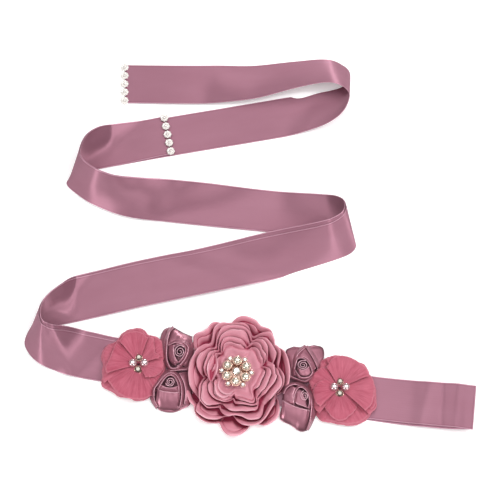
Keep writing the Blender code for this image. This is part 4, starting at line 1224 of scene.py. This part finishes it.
# a flat foot, a scalloped border, a groove and a domed middle
trim_profile = ((0, 0), (3.7, 0), (3.95, 0.7), (3.5, 1.7), (2.7, 2.0), (2.2, 1.2), (1.7, 1.3),
                (1.3, 2.5), (0, 2.9))
scallop = 1 + 0.07 * np.cos(8 * np.arange(40) * 2 * math.pi / 40)
trim_nodes = [f"{end}_end_stone_{k + 1}" for end in ("long", "short") for k in range(5)]
trims = []
for node in trim_nodes:
    (x, y, low), _ = foot_and_size(node)
    z = LONG_END_TOP if node.startswith("long") else low - 0.5
    trims.append(turned(trim_profile, (x, y, z), 40, scallop))
trim_piece = add_piece("ribbon_end_trims", trims, TRIM, trim_nodes)

# %% [markdown]
# ## The table top
# piece and as long as its area then needs.

# %% Table top
floor_mesh = bpy.data.meshes.new("table_top")
floor_mesh.from_pydata([(-6, -6, 0), (6, -6, 0), (6, 6, 0), (-6, 6, 0)], [], [(0, 1, 2, 3)])
floor = bpy.data.objects.new("table_top", floor_mesh)
scene.collection.objects.link(floor)


bpy.context.view_layer.update()

# %% [markdown]
# ## Table, light and camera
#
# The sash lies on white acrylic that is lit a little from below, so that shadows stay pale. The
# room is a bright ceiling that fades toward the horizon. Satin shows what it mirrors, so the ceiling
# has two dark slots side by side, which gentle bends in the cloth pick up as soft streaks. Narrow
# panels near the floor give the bright streaks at the turns. The camera looks down through a long
# lens, tilted a little from straight down.

# %% Table
# frosted white acrylic, lit from below: an even clean white
material, tree = new_material("backlit_white_acrylic")
place = add_node(tree, "TexCoord").outputs["Object"]
mottle = add_node(tree, "TexNoise", {"Vector": place, "Scale": per_metre(125)})
tone = add_node(tree, "MixRGB", {0: mottle.outputs[0], 1: linear("#FAFAFA"), 2: linear("#FCFCFC")})
add_node(tree, "OutputMaterial", {"Surface": add_node(tree, "BsdfPrincipled", {
    "Base Color": tone.outputs[0], "Roughness": 0.9, "Specular IOR Level": 0.1,
    "Emission Color": linear("#FFFFFF"), "Emission Strength": 0.22}).outputs[0]})
floor_mesh.materials.append(material)
print("table:", material.name)

# %% Room
BRIGHT, DIM = 2.65, 0.03         # the light overhead and near the horizon
CEILING = (0.58, 0.88)           # where it comes in and is full, as the direction's height
SLOT_INNER, SLOT_OUTER = (0.09, 0.15), (0.27, 0.35)     # the slots' soft edges, as its sideways part
SLOT_LIGHT = 0.2                 # share of the light that is left in them
world = bpy.data.worlds.new("soft_room")
scene.world = world
world.use_nodes = True
tree = world.node_tree
toward = add_node(tree, "SeparateXYZ", {0: add_node(tree, "TexCoord").outputs["Generated"]})
aside = add_node(tree, "Math", {0: toward.outputs[0]}, operation="ABSOLUTE").outputs[0]
dome, gap, beyond = (
    add_node(tree, "MapRange", {"Value": value, "From Min": start, "From Max": end, "To Min": low,
                                "To Max": high}, interpolation_type="SMOOTHSTEP").outputs[0]
    for value, (start, end), low, high in (
        (toward.outputs[2], CEILING, DIM, BRIGHT), (aside, SLOT_INNER, 1.0, SLOT_LIGHT),
        (aside, SLOT_OUTER, 0.0, 1.0 - SLOT_LIGHT)))
share = add_node(tree, "Math", {0: gap, 1: beyond}, operation="ADD").outputs[0]
strength = add_node(tree, "Math", {0: dome, 1: share}, operation="MULTIPLY").outputs[0]
background = tree.nodes["Background"]
background.inputs["Color"].default_value = linear("#FFFFFF")
tree.links.new(strength, background.inputs["Strength"])
print("room:", world.name)


# %% Lamps
def softbox(name, place, target, size, power):
    """A rectangular area light at a place, facing a target, in metres and watts."""
    data = bpy.data.lights.new(name, "AREA")
    data.shape = "RECTANGLE"
    data.size, data.size_y = size
    data.energy = power
    lamp = bpy.data.objects.new(name, data)
    scene.collection.objects.link(lamp)
    lamp.location = place
    lamp.rotation_euler = (Vector(target) - Vector(place)).to_track_quat("-Z", "Y").to_euler()
    print(f"{name}: {power} W")


PANEL, PANEL_POWER = (0.20, 0.35), 9.5
softbox("right_softbox", (1.24, 0.30, 1.56), (0.0, 0.1, 0.0), (0.20, 0.45), 10.5)
softbox("front_left_panel", (-1.40, -1.35, 0.25), (-0.1, 0.1, 0.0), PANEL, PANEL_POWER)
softbox("front_right_panel", (1.10, -1.70, 0.70), (0.1, 0.1, 0.0), PANEL, PANEL_POWER)
softbox("back_panel", (0.30, 2.10, 0.35), (0.1, 0.2, 0.0), PANEL, PANEL_POWER)

# %% Camera
VIEW_ANGLE, TILT = 14.86, 20.0   # the lens's angle of view, and its tilt from straight down
camera_data = bpy.data.cameras.new("long_lens")
camera_data.angle = math.radians(VIEW_ANGLE)
camera_data.clip_start, camera_data.clip_end = 0.05, 20.0
camera = bpy.data.objects.new("long_lens", camera_data)
scene.collection.objects.link(camera)
camera.location = (0.0110, -0.4908, 1.6914)
camera.rotation_euler = (math.radians(TILT), 0.0, 0.0)
scene.camera = camera
scene.view_settings.view_transform = "Standard"
print("lens", round(camera_data.lens, 1), "mm")
